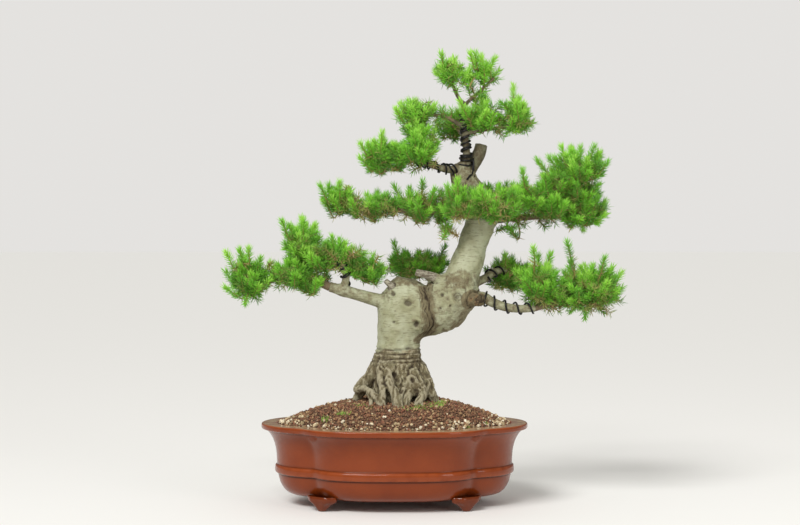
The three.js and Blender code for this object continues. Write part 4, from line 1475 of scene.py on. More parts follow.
class Wood:
    """The trunk, limbs, bare branches and surface roots, grown together as one body."""

    # How softly limbs, and then roots, flow into each other, and the size of the blank's finest form.
    LIMB_MERGE = 5
    ROOT_MERGE = 2.2
    VOXEL = 1.62
    KNOTS: ClassVar[tuple[Knot, ...]] = (
        Knot(22, 333, 8.5, 2.2, 2.2, 2, 1.2, 0.4), Knot(36, 298, 7.5, 5, 1.6, 0, 1, 1),
        Knot(-1, 302, 4, 1.6, 0.8, 0, 1.2, 0.6), Knot(1, 320, 2.6, 1, 0.6, 0, 1, 0.5),
        Knot(78, 347, 5, 2.6, 1.2, 0, 1, 0.9), Knot(75, 325, 3.2, 1.8, 0.8, 0, 1, 0.9),
        Knot(91, 329, 3.2, 1.8, 0.8, 0, 1, 0.9), Knot(103, 343, 11, 1.6, 2.6, 4, 1, 0.45),
        Knot(24, 259, 5, 1.2, 0.5, 0, 2.2, 0.8), Knot(-2, 348, 6, 1.2, 2.4, 2, 1.2, 0.4),
        Knot(60, 320, 7, 2.4, 2, 2, 1, 0.8, 180), Knot(8, 300, 6, 3, 1.6, 1, 1, 1, 180),
        Knot(100, 350, 9, 2, 2.2, 3, 1, 0.6, 180), Knot(130, 430, 4, 1.6, 1, 0, 1, 0.7, 180),
    )
    # Rings round the base: height, width and depth.
    RINGS: ClassVar[tuple[Triple, ...]] = (
        (257, 1.5, 1.2), (250.5, 1.2, 0.8), (242, 1.4, 1.1), (236, 0.8, 0.6),
    )
    # Old brown patches on the grey bark: x, y, z, half width, depth and height, and strength.
    STAINS: ClassVar[tuple[tuple[float, ...], ...]] = (
        (106, -40, 371, 38, 46, 22, 0.62), (4, -40, 372, 46, 40, 13, 0.5), (-16, -35, 345, 22, 40, 13, 0.5),
        (27, -50, 338, 20, 30, 15, 0.4), (36, -50, 300, 17, 30, 16, 0.45),
    )
    # The seam between trunk and limb, as heights from low to high and how far right it lies there.
    SEAM: ClassVar[tuple[Sequence[float], Sequence[float]]] = (
        (272, 280, 296, 312, 330, 350, 368), (44, 52, 60, 56, 54, 50, 50),
    )

    def __init__(self) -> None:
        """Gathers the wood's centre lines."""
        bare = [route[:count] for count, route in BRANCHES.values()]
        limbs = (TRUNK, LIMB, LEADER, *SNAGS.values(), *bare)
        self.limbs = [Line.through(rows).refined(4) for rows in limbs]
        self.roots = [Line.through(rows).refined(4) for rows in ROOTS]

    @staticmethod
    def line_depth(places: Array, line: Line) -> Reach:
        """Measures how far places lie outside one limb.

        Args:
            places: An (n, 3) array.
            line: The limb.

        Returns:
            The distances, the directions away from the limb, and the limb's radius there.
        """
        best = np.full(len(places), 1e3)
        away = np.tile([0.0, 0.0, 1.0], (len(places), 1))
        girth = np.ones(len(places))
        margin = line.radii.max() + 24
        low, high = line.places.min(0) - margin, line.places.max(0) + margin
        near = np.all((places > low) & (places < high), axis=1)
        if not near.any():
            return best, away, girth
        spots = places[near]
        found, outs, radii = best[near], away[near], girth[near]
        for start, end, first, last in zip(line.places, line.places[1:], line.radii, line.radii[1:]):
            along = end - start
            share = np.clip((spots - start) @ along / (along @ along), 0, 1)
            radius = first + (last - first) * share
            offset = spots - start - share[:, None] * along
            length = np.linalg.norm(offset, axis=1) + 1e-9
            closer = length - radius < found
            found[closer] = (length - radius)[closer]
            outs[closer] = (offset / length[:, None])[closer]
            radii[closer] = radius[closer]
        best[near], away[near], girth[near] = found, outs, radii
        return best, away, girth

    @staticmethod
    def merged(parts: Sequence[Reach], most: float) -> tuple:
        """Lets bodies flow into each other, thick ones more softly than thin ones.

        Args:
            parts: Distances, directions and radii for each body.
            most: How softly the thickest flow, in millimetres.

        Returns:
            The same three for the merged body.
        """
        depths = np.array([part[0] for part in parts])
        lowest = depths.min(0)
        nearest = np.array([part[2] for part in parts])[depths.argmin(0), np.arange(len(lowest))]
        merge = np.clip(0.28 * nearest, 0.5, most)
        weights = np.exp(-(depths - lowest) / merge)
        total = weights.sum(0)
        weights /= total
        away = np.einsum("kn,kni->ni", weights, np.array([part[1] for part in parts]))
        away /= np.linalg.norm(away, axis=1)[:, None] + 1e-9
        girth = np.einsum("kn,kn->n", weights, np.array([part[2] for part in parts]))
        return lowest - merge * np.log(total), away, girth

    def depth(self, places: Array) -> Reach:
        """Measures how far places lie outside the wood.

        Args:
            places: An (n, 3) array.

        Returns:
            The distances, the directions away from the wood, and the local radius.
        """
        limbs = self.merged([self.line_depth(places, line) for line in self.limbs], self.LIMB_MERGE)
        roots = self.merged([self.line_depth(places, line) for line in self.roots], self.ROOT_MERGE)
        return self.merged([limbs, roots], self.ROOT_MERGE)

    def blank(self) -> Mesh:
        """Returns the rough form, remeshed evenly and drawn onto the merged body."""
        timber = round_timber([*self.limbs, *self.roots], 5)
        blank = modified(timber, "REMESH", mode="VOXEL", voxel_size=self.VOXEL, use_smooth_shade=True)
        for _ in range(4):
            places = vertices_of(blank)
            depth, away, _ = self.depth(places)
            move_vertices(blank, places - away * np.clip(depth, -3, 3)[:, None] * 0.9)
        return modified(blank, "SMOOTH", factor=0.5, iterations=3)

    def carve(self, mesh: Mesh) -> dict[str, Array]:
        """Carves lumps, knots, rings, the seam, hollows and fissured bark, and paints shade into the
        hollows.

        Args:
            mesh: The blank, which is changed.

        Returns:
            What the bark's finish reads at each vertex, by name.
        """
        places, normals = vertices_of(mesh), normals_of(mesh)
        x, y, z = places.T
        _, _, girth = self.depth(places)
        thick = blend(6, 26, girth)
        # Where the bark is old: on the base, on the shoulder and under it, and on the thin tops.
        base = blend(262, 247, z + 3 * np.sin(x / 7))
        knuckle = blend(38, 52, x) * blend(379, 366, z) * blend(262, 300, z)
        heel = blend(352, 366, z) * blend(60, 40, x) * blend(-40, -5, x)
        belly = blend(0.45, 0.9, normals[:, 0] - 0.6 * normals[:, 2])
        belly = belly * blend(60, 80, x) * blend(400, 360, z)
        top = blend(500, 530, z) * 0.6
        small = (1 - thick) * 0.5
        rough = np.clip(np.maximum.reduce([base, 0.4 * knuckle, 0.6 * heel, 0.6 * belly, top, small]), 0, 1)
        # Lumps, large and small, the bark's grain and its cracks.
        rise = speckle(places, (30, 30, 34)) * 2.6 * thick
        rise += speckle(places, (13, 13, 16), shift=7) * 1.1 * thick * (0.35 + rough)
        grain = speckle(places, (5, 5, 11), 4, 3)
        girdle = blend(231, 239, z) * blend(268, 258, z)
        rise += grain * 1.25 * rough * (0.3 + 0.7 * thick) * (1 - 0.8 * girdle)
        rise += speckle(places, (34, 34, 2.4), 2, 15) * 1.3 * girdle
        crack = blend(0.12, 0.5, -grain) * base * 0.3
        # Gnarled ridges where the roots begin.
        swayed = places + 14 * np.column_stack([speckle(places, (34, 34, 34), 2, s) for s in (21, 22, 23)])
        gnarl = np.abs(speckle(swayed, (11, 11, 60), 2, 9))
        gnarl *= blend(-0.5, 0.3, speckle(places, (24, 24, 24), 1, 13))
        rise += (0.14 - gnarl) * 4.6 * blend(245, 228, z)
        rise += speckle(places, (2.6, 2.6, 3.4), 2, 5) * 0.22 * (0.3 + rough)
        # Rings, the seam and knots.
        wobble = 1.6 * speckle(places, (16, 16, 16), 2, 11)
        for height, wide, deep in self.RINGS:
            groove = np.exp(-(((z - height - wobble) / wide) ** 2)) * (np.abs(x - 6) < 60)
            rise -= deep * groove
            crack = np.maximum(crack, 0.4 * groove)
        crack = np.maximum(crack, 0.5 * (1 - thick) * blend(540, 575, z))
        front = blend(0.05, 0.35, -normals[:, 1])
        seam_rise, seam_dark = self.seam(x, z, wobble)
        rise += seam_rise * front
        crack = np.maximum(crack, seam_dark * front)
        beside = np.exp(-((self.seam_offset(x, z) / 15) ** 2)) * (z < 372) * (z > 266)
        rough = np.maximum(rough, 0.95 * front * beside)
        for knot in self.KNOTS:
            lift, dark, worn = self.eye(knot, places, normals)
            rise += lift
            crack = np.maximum(crack, dark)
            rough = np.maximum(rough, worn)
        # The torn end of the stub and its collar, and old brown patches.
        torn = blend(1.35, 0.75, self.away_from(places, (141, -42, 338), (13, 13, 14)))
        rise += torn * (3.4 * speckle(places, (6, 6, 6), 2, 17) - 0.6)
        collar = blend(1.25, 0.9, self.away_from(places, (132, -34, 338), (24, 22, 17)))
        rough = np.maximum(rough, 0.85 * collar)
        for *spot, strength in self.STAINS:
            away = self.away_from(places, spot[:3], spot[3:]) + 0.4 * speckle(places, (7, 7, 16), 3, 19)
            rough = np.maximum(rough, strength * blend(1.25, 0.45, away))
        places = places + normals * rise[:, None]
        # Sinks the pits and paints them dark: painted shade.
        for hx, hy, hz, radius in HOLLOWS:
            away = places - (hx, hy, hz)
            gap = np.linalg.norm(away, axis=1)
            sunk = blend(radius * 1.5, radius * 0.4, gap)
            places -= normals * (sunk * radius * 0.75)[:, None]
            crack = np.maximum(crack, 0.85 * sunk)
        move_vertices(mesh, places)
        return {"rough": rough, "crack": np.clip(crack, 0, 1), "base": base, **self.wounds(places)}

    @staticmethod
    def away_from(places: Array, middle: Sequence[float], halves: Sequence[float]) -> Array:
        """Returns how far places lie from a middle, where 1 is the skin of a body of those half sizes."""
        return np.linalg.norm((places - np.array(middle)) / halves, axis=1)

    def seam_offset(self, x: Array, z: Array) -> Array:
        """Returns how far right of the seam each place lies."""
        return x - np.interp(z, *self.SEAM)

    def seam(self, x: Array, z: Array, wobble: Array) -> tuple[Array, Array]:
        """Works out the plaited ridges where the limb has grown onto the trunk.

        Args:
            x: The places across.
            z: Their heights.
            wobble: Bends the ridges.

        Returns:
            How far the ridges stand out, and how dark the cracks between them are.
        """
        offset = self.seam_offset(x, z) + wobble * 1.4
        inside = np.exp(-((offset / 11.5) ** 2)) * blend(268, 282, z) * blend(372, 358, z)
        waves = np.cos(offset * TURN / 5.1 + 1.5 * np.sin(z / 8) + 0.8 * np.sin(z / 3.1) + 1.1 * wobble)
        split = np.exp(-(((offset - 2 - 2.5 * np.sin(z / 15)) / 1.6) ** 2))
        split = split * blend(270, 290, z) * blend(366, 352, z)
        dark = np.maximum(inside * blend(0.1, -0.85, waves) * 0.15, 0.7 * split)
        return inside * (1.25 * waves - 0.3) - 2.2 * split, dark

    @staticmethod
    def eye(knot: Knot, places: Array, normals: Array) -> Reach:
        """Works out one knot.

        Args:
            knot: The knot.
            places: The wood's vertices.
            normals: Their normals.

        Returns:
            How far the bark stands out, how dark it is, and how rough.
        """
        turn = math.radians(knot.facing)
        facing = np.array([math.sin(turn), -math.cos(turn), 0])
        seen = blend(0.1, 0.4, normals @ facing)
        across = (places[:, 0] - knot.x) / knot.stretch
        out = np.hypot(across, places[:, 2] - knot.z) / knot.size
        pit = np.exp(-((out / 0.62) ** 2))
        lip = np.exp(-(((out - 1) / 0.34) ** 2))
        rings = np.cos(out * knot.rings * 4) * np.exp(-((out / 1.5) ** 2)) * (0.5 if knot.rings else 0)
        near = seen * (out < 3)
        dark = near * np.exp(-((out / 0.5) ** 2)) * knot.dark * 0.85
        worn = near * 0.42 * np.exp(-((out / 1.15) ** 2))
        return near * (knot.lip * lip - knot.pit * pit + rings), dark, worn

    def wounds(self, places: Array) -> dict[str, Array]:
        """Finds the broken wood and the silvered dead wood.

        Args:
            places: The wood's vertices.

        Returns:
            How freshly broken and how weathered each is.
        """
        x, y, z = places.T
        torn = blend(1.3, 0.8, self.away_from(places, (138, -41, 338), (16, 15, 15)))
        scar = blend(2.5, 1, np.abs(z - 253.5)) * blend(4, 14, x) * blend(34, 26, x) * (y < 0)
        cut = np.maximum(torn * blend(-0.25, 0.3, speckle(places, (7, 7, 7), 3, 2)), 0.5 * scar)
        weathered = np.zeros(len(places))
        for name in ("dead_stub", "dead_twig"):
            gap = self.line_depth(places, Line.through(SNAGS[name][1:]))[0]
            weathered = np.maximum(weathered, blend(5, 1.5, gap))
        return {"cut": cut, "weathered": weathered}

    @staticmethod
    def sunken(mesh: Mesh) -> Array:
        """Finds how deep each vertex lies among those around it.

        Args:
            mesh: The carved wood.

        Returns:
            0.5 on even bark, towards 1 in a hollow and towards 0 on a ridge.
        """
        ends = gathered(mesh.edges, "vertices", 2)
        here, there = np.concatenate([ends, ends[:, ::-1]]).T
        places = vertices_of(mesh)
        count = np.bincount(here, minlength=len(places))
        even = places
        for _ in range(9):
            sums = [np.bincount(here, even[there, i], len(places)) for i in range(3)]
            even = np.column_stack(sums) / count[:, None]
        return np.clip(0.5 + ((even - places) * normals_of(mesh)).sum(1) * 0.48, 0, 1)

    def dress(self) -> None:
        """Publishes the wood."""
        mesh = self.blank()
        for name, values in self.carve(mesh).items():
            write_shares(mesh, name, values)
        write_shares(mesh, "sunken", self.sunken(mesh))
        set_down(mesh, "trunk_wood", Bark().material(), "trunk")


# ---- Foliage ----

# How much fresher or older than elsewhere a spray's needles look. The lower numbers of the back sprays are
# also painted shade at the back of the tree.
FRESHNESS_AND_SHADE: dict[str, float] = {
    "back_low": -0.04, "right_back": -0.1, "mid_back": -0.08, "front_left": -0.02, "left_crown": 0.04,
    "mid_left": -0.05, "upper_left": 0.04, "upper_right": 0.16, "upper_left_top": 0.12, "apex_left": 0.22,
    "apex_right": 0.22,
}
# How much farther apart than elsewhere the extra shoots of a sparse spray stand.
SPARSE: dict[str, float] = {
    "apex_left": 1.35, "apex_right": 1.4, "mid_left": 1.2, "upper_left_top": 1.15, "upper_right": 1.15,
}
# Where no shoot hides the wood and the wire: x, y, z and a radius.
CLEARINGS: tuple[Station, ...] = ((-88, -66, 393, 28), (-72, -62, 390, 24), (-100, -60, 390, 22))
# Clouds of further shoots that close the gaps between a spray's main ones.
FILLING: dict[str, tuple[Cloud, ...]] = {
    "left": ((-189, -8, 386, 24, 34, 26), (-140, -10, 374, 38, 40, 22)),
    "left_crown": ((-120, -25, 415, 38, 45, 36), (-62, -22, 398, 36, 42, 30)),
    "right_low": ((280, -10, 356, 46, 50, 42),),
    "back_low": ((16, 70, 398, 34, 34, 30), (66, 70, 398, 34, 34, 32)),
    "right_back": ((190, 52, 384, 34, 30, 34),),
    "mid_left": (
        (-62, -10, 497, 34, 40, 26), (-8, -14, 498, 34, 42, 28), (75, -20, 492, 36, 40, 28),
        (84, -34, 463, 20, 16, 11),
    ),
    "front_left": ((138, -52, 502, 36, 30, 34),),
    "mid_right": ((200, -5, 508, 40, 45, 38), (268, -2, 538, 42, 44, 36)),
    "mid_right_low": ((262, 4, 500, 45, 44, 36), (305, 5, 523, 44, 42, 30), (196, 8, 463, 20, 18, 12)),
    "upper_left": ((6, -10, 580, 34, 38, 32),),
    "upper_left_top": ((40, -10, 622, 34, 36, 26),),
    "upper_right": ((126, 6, 640, 26, 28, 34),),
    "apex_left": ((112, 2, 716, 22, 24, 26),),
    "apex_right": ((125, 2, 712, 17, 20, 26),),
}


@dataclass(frozen=True)
class Habit:
    """How shoots of one age bear their needles.

    Args:
        needles: How many needles a shoot bears.
        length: The longest needle.
        spread: How far the needles stand off the stem at its foot and at its tip, in radians.
        tone: How fresh they are there, from 0, withered, to 1, new.
        stem: The stem's radius.
    """

    needles: int
    length: float
    spread: tuple[float, float]
    tone: tuple[float, float]
    stem: float


class Age(Enum):
    """The ages of shoots."""

    NEW = Habit(96, 13.5, (1.25, 0.4), (0.52, 0.9), 1.0)
    GROWN = Habit(80, 13.5, (1.3, 0.6), (0.36, 0.68), 1.0)
    OLD = Habit(46, 16.5, (1.5, 0.8), (0.08, 0.44), 0.8)


@dataclass(frozen=True)
class Shoot:
    """A needled shoot.

    Args:
        base: Where its needles begin.
        tip: Where its stem ends.
        roll: Meant to turn its needles about the stem; not used.
        age: Its age.
    """

    base: Vector
    tip: Vector
    roll: float
    age: Age


@dataclass(frozen=True)
class Growth:
    """The rules that all foliage grows by. The main shoots stand as they do in the solids.

    Args:
        area_each: The part of a cloud that one main shoot fills, in square millimetres.
        crown_each: The part of its top that one more shoot fills.
        inner_each: The part of its inside that one old shoot fills.
        tip_spacing: The least distance between the tips of main shoots.
        fill_spacing: The least distance between all other tips.
        depth_share: How deep in its cloud a shoot of the outline may stand.
        lowest: How far down a cloud its main shoots go.
        shortest: The shortest shoot.
        longest: The longest.
        needle_reach: How far needles reach past the stem's end.
        needle_radius: Half a needle's width.
        spur_spacing: How far apart short shoots stand along a branch.
        seed: Starts the first spray's dice.
        seed_step: The step between two sprays' seeds.
    """

    area_each: float = 680
    crown_each: float = 56
    inner_each: float = 44
    tip_spacing: float = 27
    fill_spacing: float = 8.5
    depth_share: float = 0.85
    lowest: float = 1.5
    shortest: float = 24
    longest: float = 36
    needle_reach: float = 8
    needle_radius: float = 0.62
    spur_spacing: float = 4.5
    seed: int = 149
    seed_step: int = 17

    @staticmethod
    def upright(out: Vector) -> Vector:
        """Returns the way a shoot grows, by the way out of its cloud."""
        gain = 0.35 if out.z > 0 else 1.4
        return Vector((out.x * 0.62, out.y * 0.62, 0.7 + gain * out.z)).normalized()

    def shoot(self, end: Vector, grows: Vector, dice: Dice, age: Age) -> Shoot:
        """Makes one shoot.

        Args:
            end: The outermost point of its needles.
            grows: The direction that it grows in.
            dice: Picks its length and roll.
            age: Its age.

        Returns:
            The shoot.
        """
        length = self.shortest + (self.longest - self.shortest) * dice.next()
        tip = end - grows * self.needle_reach
        return Shoot(tip - grows * length, tip, dice.next() * TURN, age)

    def outline(self, clouds: Sequence[Cloud], tips: Sequence[Tip], dice: Dice) -> list[Shoot]:
        """Grows the shoots that make the outline, each leaning away from its cloud's middle.

        Args:
            clouds: The spray's clouds.
            tips: The outermost points of the shoots.
            dice: Picks their depths, lengths and rolls.

        Returns:
            The shoots.
        """
        shoots = []
        for x, z in tips:
            cloud = min(clouds, key=lambda c: math.hypot((x - c[0]) / c[3], (z - c[2]) / c[5]))
            share = (2 * dice.next() - 1) * self.depth_share
            out = Vector(((x - cloud[0]) / cloud[3], share, (z - cloud[2]) / cloud[5])).normalized()
            end = Vector((x, cloud[1] + share * cloud[4], z))
            shoots.append(self.shoot(end, self.upright(out), dice, Age.NEW))
        return shoots

    def over(self, cloud: Cloud, dice: Dice) -> list[Shoot]:
        """Grows main shoots, spread evenly over a cloud.

        Args:
            cloud: The cloud.
            dice: Picks their places, lengths and rolls.

        Returns:
            The shoots.
        """
        count = round((sum(cloud[3:]) / 3) ** 2 / self.area_each)
        shoots = []
        for i in range(count):
            up = 1 - self.lowest * (i + 0.5) / count
            out = self.way_out(up, i * GOLDEN_TURN + dice.next() * 0.6)
            end = self.inside(cloud, out, 0.9 + 0.1 * dice.next())
            shoots.append(self.shoot(end, self.upright(out), dice, Age.NEW))
        return shoots

    @staticmethod
    def way_out(up: float, azimuth: float) -> Vector:
        """Returns the direction with the given height and azimuth."""
        flat = math.sqrt(max(0, 1 - up * up))
        return Vector((flat * math.cos(azimuth), flat * math.sin(azimuth), up))

    @staticmethod
    def inside(cloud: Cloud, out: Vector, share: float) -> Vector:
        """Returns the point at a share of the way from a cloud's middle to its skin."""
        x, y, z, wide, deep, high = cloud
        return Vector((x + out.x * wide * share, y + out.y * deep * share, z + out.z * high * share))

    def crown(self, cloud: Cloud, dice: Dice) -> list[Shoot]:
        """Grows the many shoots that stand close together on a cloud's top and sides.

        Args:
            cloud: The cloud.
            dice: Picks all about them.

        Returns:
            The shoots.
        """
        shoots = []
        for _ in range(round(self.area_of(cloud) / self.crown_each)):
            out = self.way_out(1 - 1.45 * dice.next(), dice.next() * TURN)
            sway = Vector((dice.next() - 0.5, dice.next() - 0.5, 0)) * 0.45
            share = (0.62 + 0.38 * dice.next() ** 0.7) * self.bulge(cloud, out) * (1 - 0.15 * max(out.z, 0))
            age = Age.NEW if out.z * share + 0.7 * dice.next() > 0.5 else Age.GROWN
            grows = (self.upright(out) + sway).normalized()
            shoots.append(self.shoot(self.inside(cloud, out, share), grows, dice, age))
        return shoots

    def inner(self, cloud: Cloud, dice: Dice) -> list[Shoot]:
        """Grows the old shoots that straggle inside a cloud and out below it.

        Args:
            cloud: The cloud.
            dice: Picks all about them.

        Returns:
            The shoots.
        """
        shoots = []
        for _ in range(round(self.area_of(cloud) / self.inner_each)):
            out = self.way_out(0.5 - 1.5 * dice.next(), dice.next() * TURN)
            share = (0.42 + 0.62 * dice.next() ** 0.6) * self.bulge(cloud, out)
            grows = Vector((out.x, out.y, 0.25 + 0.8 * out.z)).normalized()
            age = Age.OLD if dice.next() < 0.75 else Age.GROWN
            shoots.append(self.shoot(self.inside(cloud, out, share), grows, dice, age))
        return shoots

    @staticmethod
    def bulge(cloud: Cloud, out: Vector) -> float:
        """Returns how far a cloud's uneven skin reaches that way, about 1."""
        return 0.97 + 0.22 * noise.noise(out * 1.9 + Vector(cloud[:3]) * 0.1)

    @staticmethod
    def area_of(cloud: Cloud) -> float:
        """Returns a third of the sum of a cloud's half sizes multiplied in pairs."""
        wide, deep, high = cloud[3:]
        return (wide * deep + wide * high + deep * high) / 3

    def spurs(self, branch: Line, dice: Dice) -> list[Shoot]:
        """Grows the short shoots that clothe a branch itself.

        Args:
            branch: The branch's needled part.
            dice: Picks all about them.

        Returns:
            The shoots.
        """
        length = float(np.linalg.norm(np.diff(branch.places, axis=0), axis=1).sum())
        frames = branch.frames()
        shoots = []
        for _ in range(round(length / self.spur_spacing)):
            share = dice.next() * (len(branch.radii) - 1.001)
            place, radius = branch.at(share)
            along, side, other = frames[int(share)]
            turn = dice.next() * TURN
            out = side * math.cos(turn) + other * math.sin(turn)
            grows = (out + along * 0.5 + Vector((0, 0, 0.35))).normalized()
            base = Vector(place) + out * radius + grows * 3
            tip = base + grows * (9 + 9 * dice.next())
            age = Age.OLD if out.z < 0.2 or dice.next() < 0.4 else Age.GROWN
            shoots.append(Shoot(base, tip, dice.next() * TURN, age))
        return shoots

    def shoots(self, name: str, seed: int, branch: Line) -> list[Shoot]:
        """Grows all the shoots of a spray.

        Args:
            name: The branch that bears it.
            seed: Starts the dice.
            branch: The branch's needled part.

        Returns:
            The main shoots, then those between them.
        """
        clouds, tips = FOLIAGE[name]
        dice = Dice(seed)
        grown = self.outline(clouds, tips, dice)
        for cloud in clouds:
            grown += self.apart(self.over(cloud, dice), grown, self.tip_spacing)
        for cloud in (*clouds, *FILLING.get(name, ())):
            grown += self.apart(self.crown(cloud, dice), grown, self.fill_spacing)
            grown += self.apart(self.inner(cloud, dice), grown, self.fill_spacing)
        grown += self.spurs(branch, dice)
        return [shoot for shoot in grown if not self.cleared(shoot)]

    @staticmethod
    def cleared(shoot: Shoot) -> bool:
        """Tells whether a shoot would hide wood or wire that lies open."""
        marks = [shoot.base.lerp(shoot.tip, share) for share in (0, 0.6, 1)]
        return any(
            (mark - Vector(middle)).length < radius for *middle, radius in CLEARINGS for mark in marks
        )

    @staticmethod
    def apart(extras: list[Shoot], grown: list[Shoot], spacing: float) -> list[Shoot]:
        """Picks the extra shoots whose tips keep their distance from all others' tips.

        Args:
            extras: The shoots to pick from.
            grown: Those that stand already.
            spacing: The least distance.

        Returns:
            The shoots that may be added.
        """
        kept: list[Shoot] = []
        for extra in extras:
            if all((other.tip - extra.tip).length > spacing for other in (*grown, *kept)):
                kept.append(extra)
        return kept


class Spray:
    """One branch's needled part: its twigs and their needles.

    Args:
        name: The branch that bears it.
        growth: The rules that it grows by.
        seed: Starts its dice.
    """

    def __init__(self, name: str, growth: Growth, seed: int) -> None:
        """Grows the spray's shoots."""
        self.name = name
        sparse = SPARSE.get(name, 1)
        self.growth = replace(
            growth, fill_spacing=growth.fill_spacing * sparse, inner_each=growth.inner_each * sparse**2,
            crown_each=growth.crown_each * sparse,
        )
        self.rng = np.random.default_rng(seed)
        bare, route = BRANCHES[name]
        line = Line.through(route).refined(3)
        first = (bare - 1) * 3
        self.branch = Line(line.places[first:], line.radii[first:])
        self.shoots = self.growth.shoots(name, seed, self.branch)
        self.twigs: list[Line] = []
        self.needles: list[tuple[Array, ...]] = []

    @staticmethod
    def needle() -> Mesh:
        """Returns one needle, 1 long and 1 in radius, slender and pointed, growing along +Z."""
        work = bmesh.new()
        waist = 0.45
        ring = bmesh.ops.create_cone(work, cap_ends=True, segments=3, radius1=0.75, radius2=1, depth=waist)
        bmesh.ops.translate(work, verts=ring["verts"], vec=(0, 0, waist / 2))
        foot, *_, top = sorted(work.faces, key=lambda face: face.calc_center_median().z)
        point = bmesh.ops.poke(work, faces=[top])["verts"][0]
        point.co.z = 1
        bmesh.ops.delete(work, geom=[foot], context="FACES_ONLY")
        return mesh_from(work, "needle")

    def branch_out(self) -> None:
        """Ties every shoot to the branch or to an earlier twig with a bent twig."""
        buds = [(Vector(p), r * 0.6) for p, r in zip(self.branch.places[1:], self.branch.radii[1:])]
        order = sorted(self.shoots, key=lambda s: min((b[0] - s.base).length for b in buds))
        for shoot in order:
            start, girth = min(buds, key=lambda b: (b[0] - shoot.base).length)
            reach = (shoot.base - start).length
            stem = shoot.age.value.stem
            bend = start.lerp(shoot.base, 0.45) + Vector(self.rng.normal(0, 0.07 * reach, 3))
            bend.z += 0.06 * reach
            rows = [
                (*start, min(girth, 1.8)), (*bend, stem * 1.25), (*shoot.base, stem * 1.1),
                (*shoot.base.lerp(shoot.tip, 0.6), stem * 0.9), (*shoot.tip, stem * 0.6),
            ]
            self.twigs.append(Line.through(rows).refined(2))
            buds += [(bend, 1.3), (shoot.base, 1.2)]
            self.clothe(shoot)
            self.clothe_twig(start, bend, shoot)

    def clothe(self, shoot: Shoot) -> None:
        """Sets the shoot's needles in a spiral, close and upright towards its tip.

        Args:
            shoot: The shoot.
        """
        habit = shoot.age.value
        stem = shoot.tip - shoot.base
        count = round(habit.needles * stem.length / self.growth.longest)
        place = ((np.arange(count) + 0.5) / count) ** 0.9
        along = np.array(stem.normalized())
        azimuth = np.arange(count) * GOLDEN_TURN + self.rng.normal(0, 0.3, count)
        spread = habit.spread[0] + (habit.spread[1] - habit.spread[0]) * place**1.5
        length = habit.length * (0.75 + 0.25 * np.sin(place * 2.4)) * self.rng.uniform(0.78, 1, count)
        low, high = habit.tone
        tone = low + (high - low) * place + self.rng.normal(0, 0.05, count) + self.rng.normal(0, 0.12)
        roots = np.array(shoot.base) + np.outer(place, np.array(stem))
        self.set_needles(roots, along, azimuth, spread + self.rng.normal(0, 0.13, count), length, tone)

    def clothe_twig(self, start: Vector, bend: Vector, shoot: Shoot) -> None:
        """Sets a few old needles along the twig under a shoot.

        Args:
            start: Where the twig begins.
            bend: Its middle.
            shoot: The shoot that it bears.
        """
        count = int(((shoot.base - bend).length + 0.5 * (bend - start).length) / 1.3)
        if count < 1:
            return
        share = self.rng.random(count)
        roots = np.array([
            bend.lerp(shoot.base, s) if s > 0.25 else start.lerp(bend, 0.5 + 2 * s) for s in share
        ])
        along = np.array(((shoot.base - bend).normalized() + Vector((0, 0, 0.35))).normalized())
        withered = self.rng.random(count) < 0.2
        tone = np.where(withered, 0.03, self.rng.uniform(0.1, 0.45, count))
        azimuth = self.rng.uniform(0, TURN, count)
        length = Age.OLD.value.length * self.rng.uniform(0.6, 1, count)
        self.set_needles(roots, along, azimuth, self.rng.uniform(0.8, 1.5, count), length, tone)

    def set_needles(
        self,
        roots: Array,
        along: Array,
        azimuth: Array,
        spread: Array,
        length: Array,
        tone: Array,
    ) -> None:
        """Notes some needles for the spray's mesh.

        Args:
            roots: Where they stand on the stem.
            along: The stem's direction.
            azimuth: Their turn about the stem.
            spread: The angle that each stands off the stem.
            length: Their lengths.
            tone: How fresh each is.
        """
        side = np.cross(along, (0.31, 0.87, 0.38))
        side /= np.linalg.norm(side)
        out = np.outer(np.cos(azimuth), side) + np.outer(np.sin(azimuth), np.cross(along, side))
        aims = np.outer(np.cos(spread), along) + out * np.sin(spread)[:, None]
        self.needles.append((roots + out * 0.5, aims, length, tone))

    def needle_mesh(self) -> Mesh:
        """Returns all the needles, each bent a little upwards, with their tones."""
        roots, aims, lengths, tones = (np.concatenate(parts) for parts in zip(*self.needles))
        needle = self.needle()
        shape = vertices_of(needle)
        count = len(roots)
        side = np.cross(aims, self.rng.normal(size=(count, 3)))
        side /= np.linalg.norm(side, axis=1)[:, None]
        other = np.cross(aims, side)
        wide = self.growth.needle_radius * self.rng.uniform(0.85, 1.15, count)
        far = shape[:, 2]
        places = roots[:, None] + aims[:, None] * (lengths[:, None, None] * far[None, :, None])
        places = places + side[:, None] * (shape[None, :, 0] * wide[:, None])[:, :, None]
        places += other[:, None] * (shape[None, :, 1] * wide[:, None] * 0.8)[:, :, None]
        lift = (1 - aims[:, 2]) * lengths * 0.12
        places[:, :, 2] += lift[:, None] * far[None, :] ** 2
        mesh = stamped(needle, places, "needles")
        # Tone by age, plus each spray's freshness and painted shade, and paler towards each needle's tip.
        shade = tones[:, None] + FRESHNESS_AND_SHADE.get(self.name, 0) + 0.1 * far[None, :] - 0.05
        write_shares(mesh, "tone", np.clip(shade, 0, 1).ravel())
        return mesh

    def timber(self) -> Mesh:
        """Returns the branch and its twigs, with how young each part is."""
        mesh = round_timber([self.branch, *self.twigs], 1)
        places = vertices_of(mesh)
        gaps = np.linalg.norm(places[:, None] - self.branch.places[None], axis=2) - self.branch.radii[None]
        write_shares(mesh, "young", blend(0.5, 4, gaps.min(axis=1)))
        grain = speckle(places, (3, 3, 3), 2)
        move_vertices(mesh, places + normals_of(mesh) * (0.2 * grain)[:, None])
        return mesh

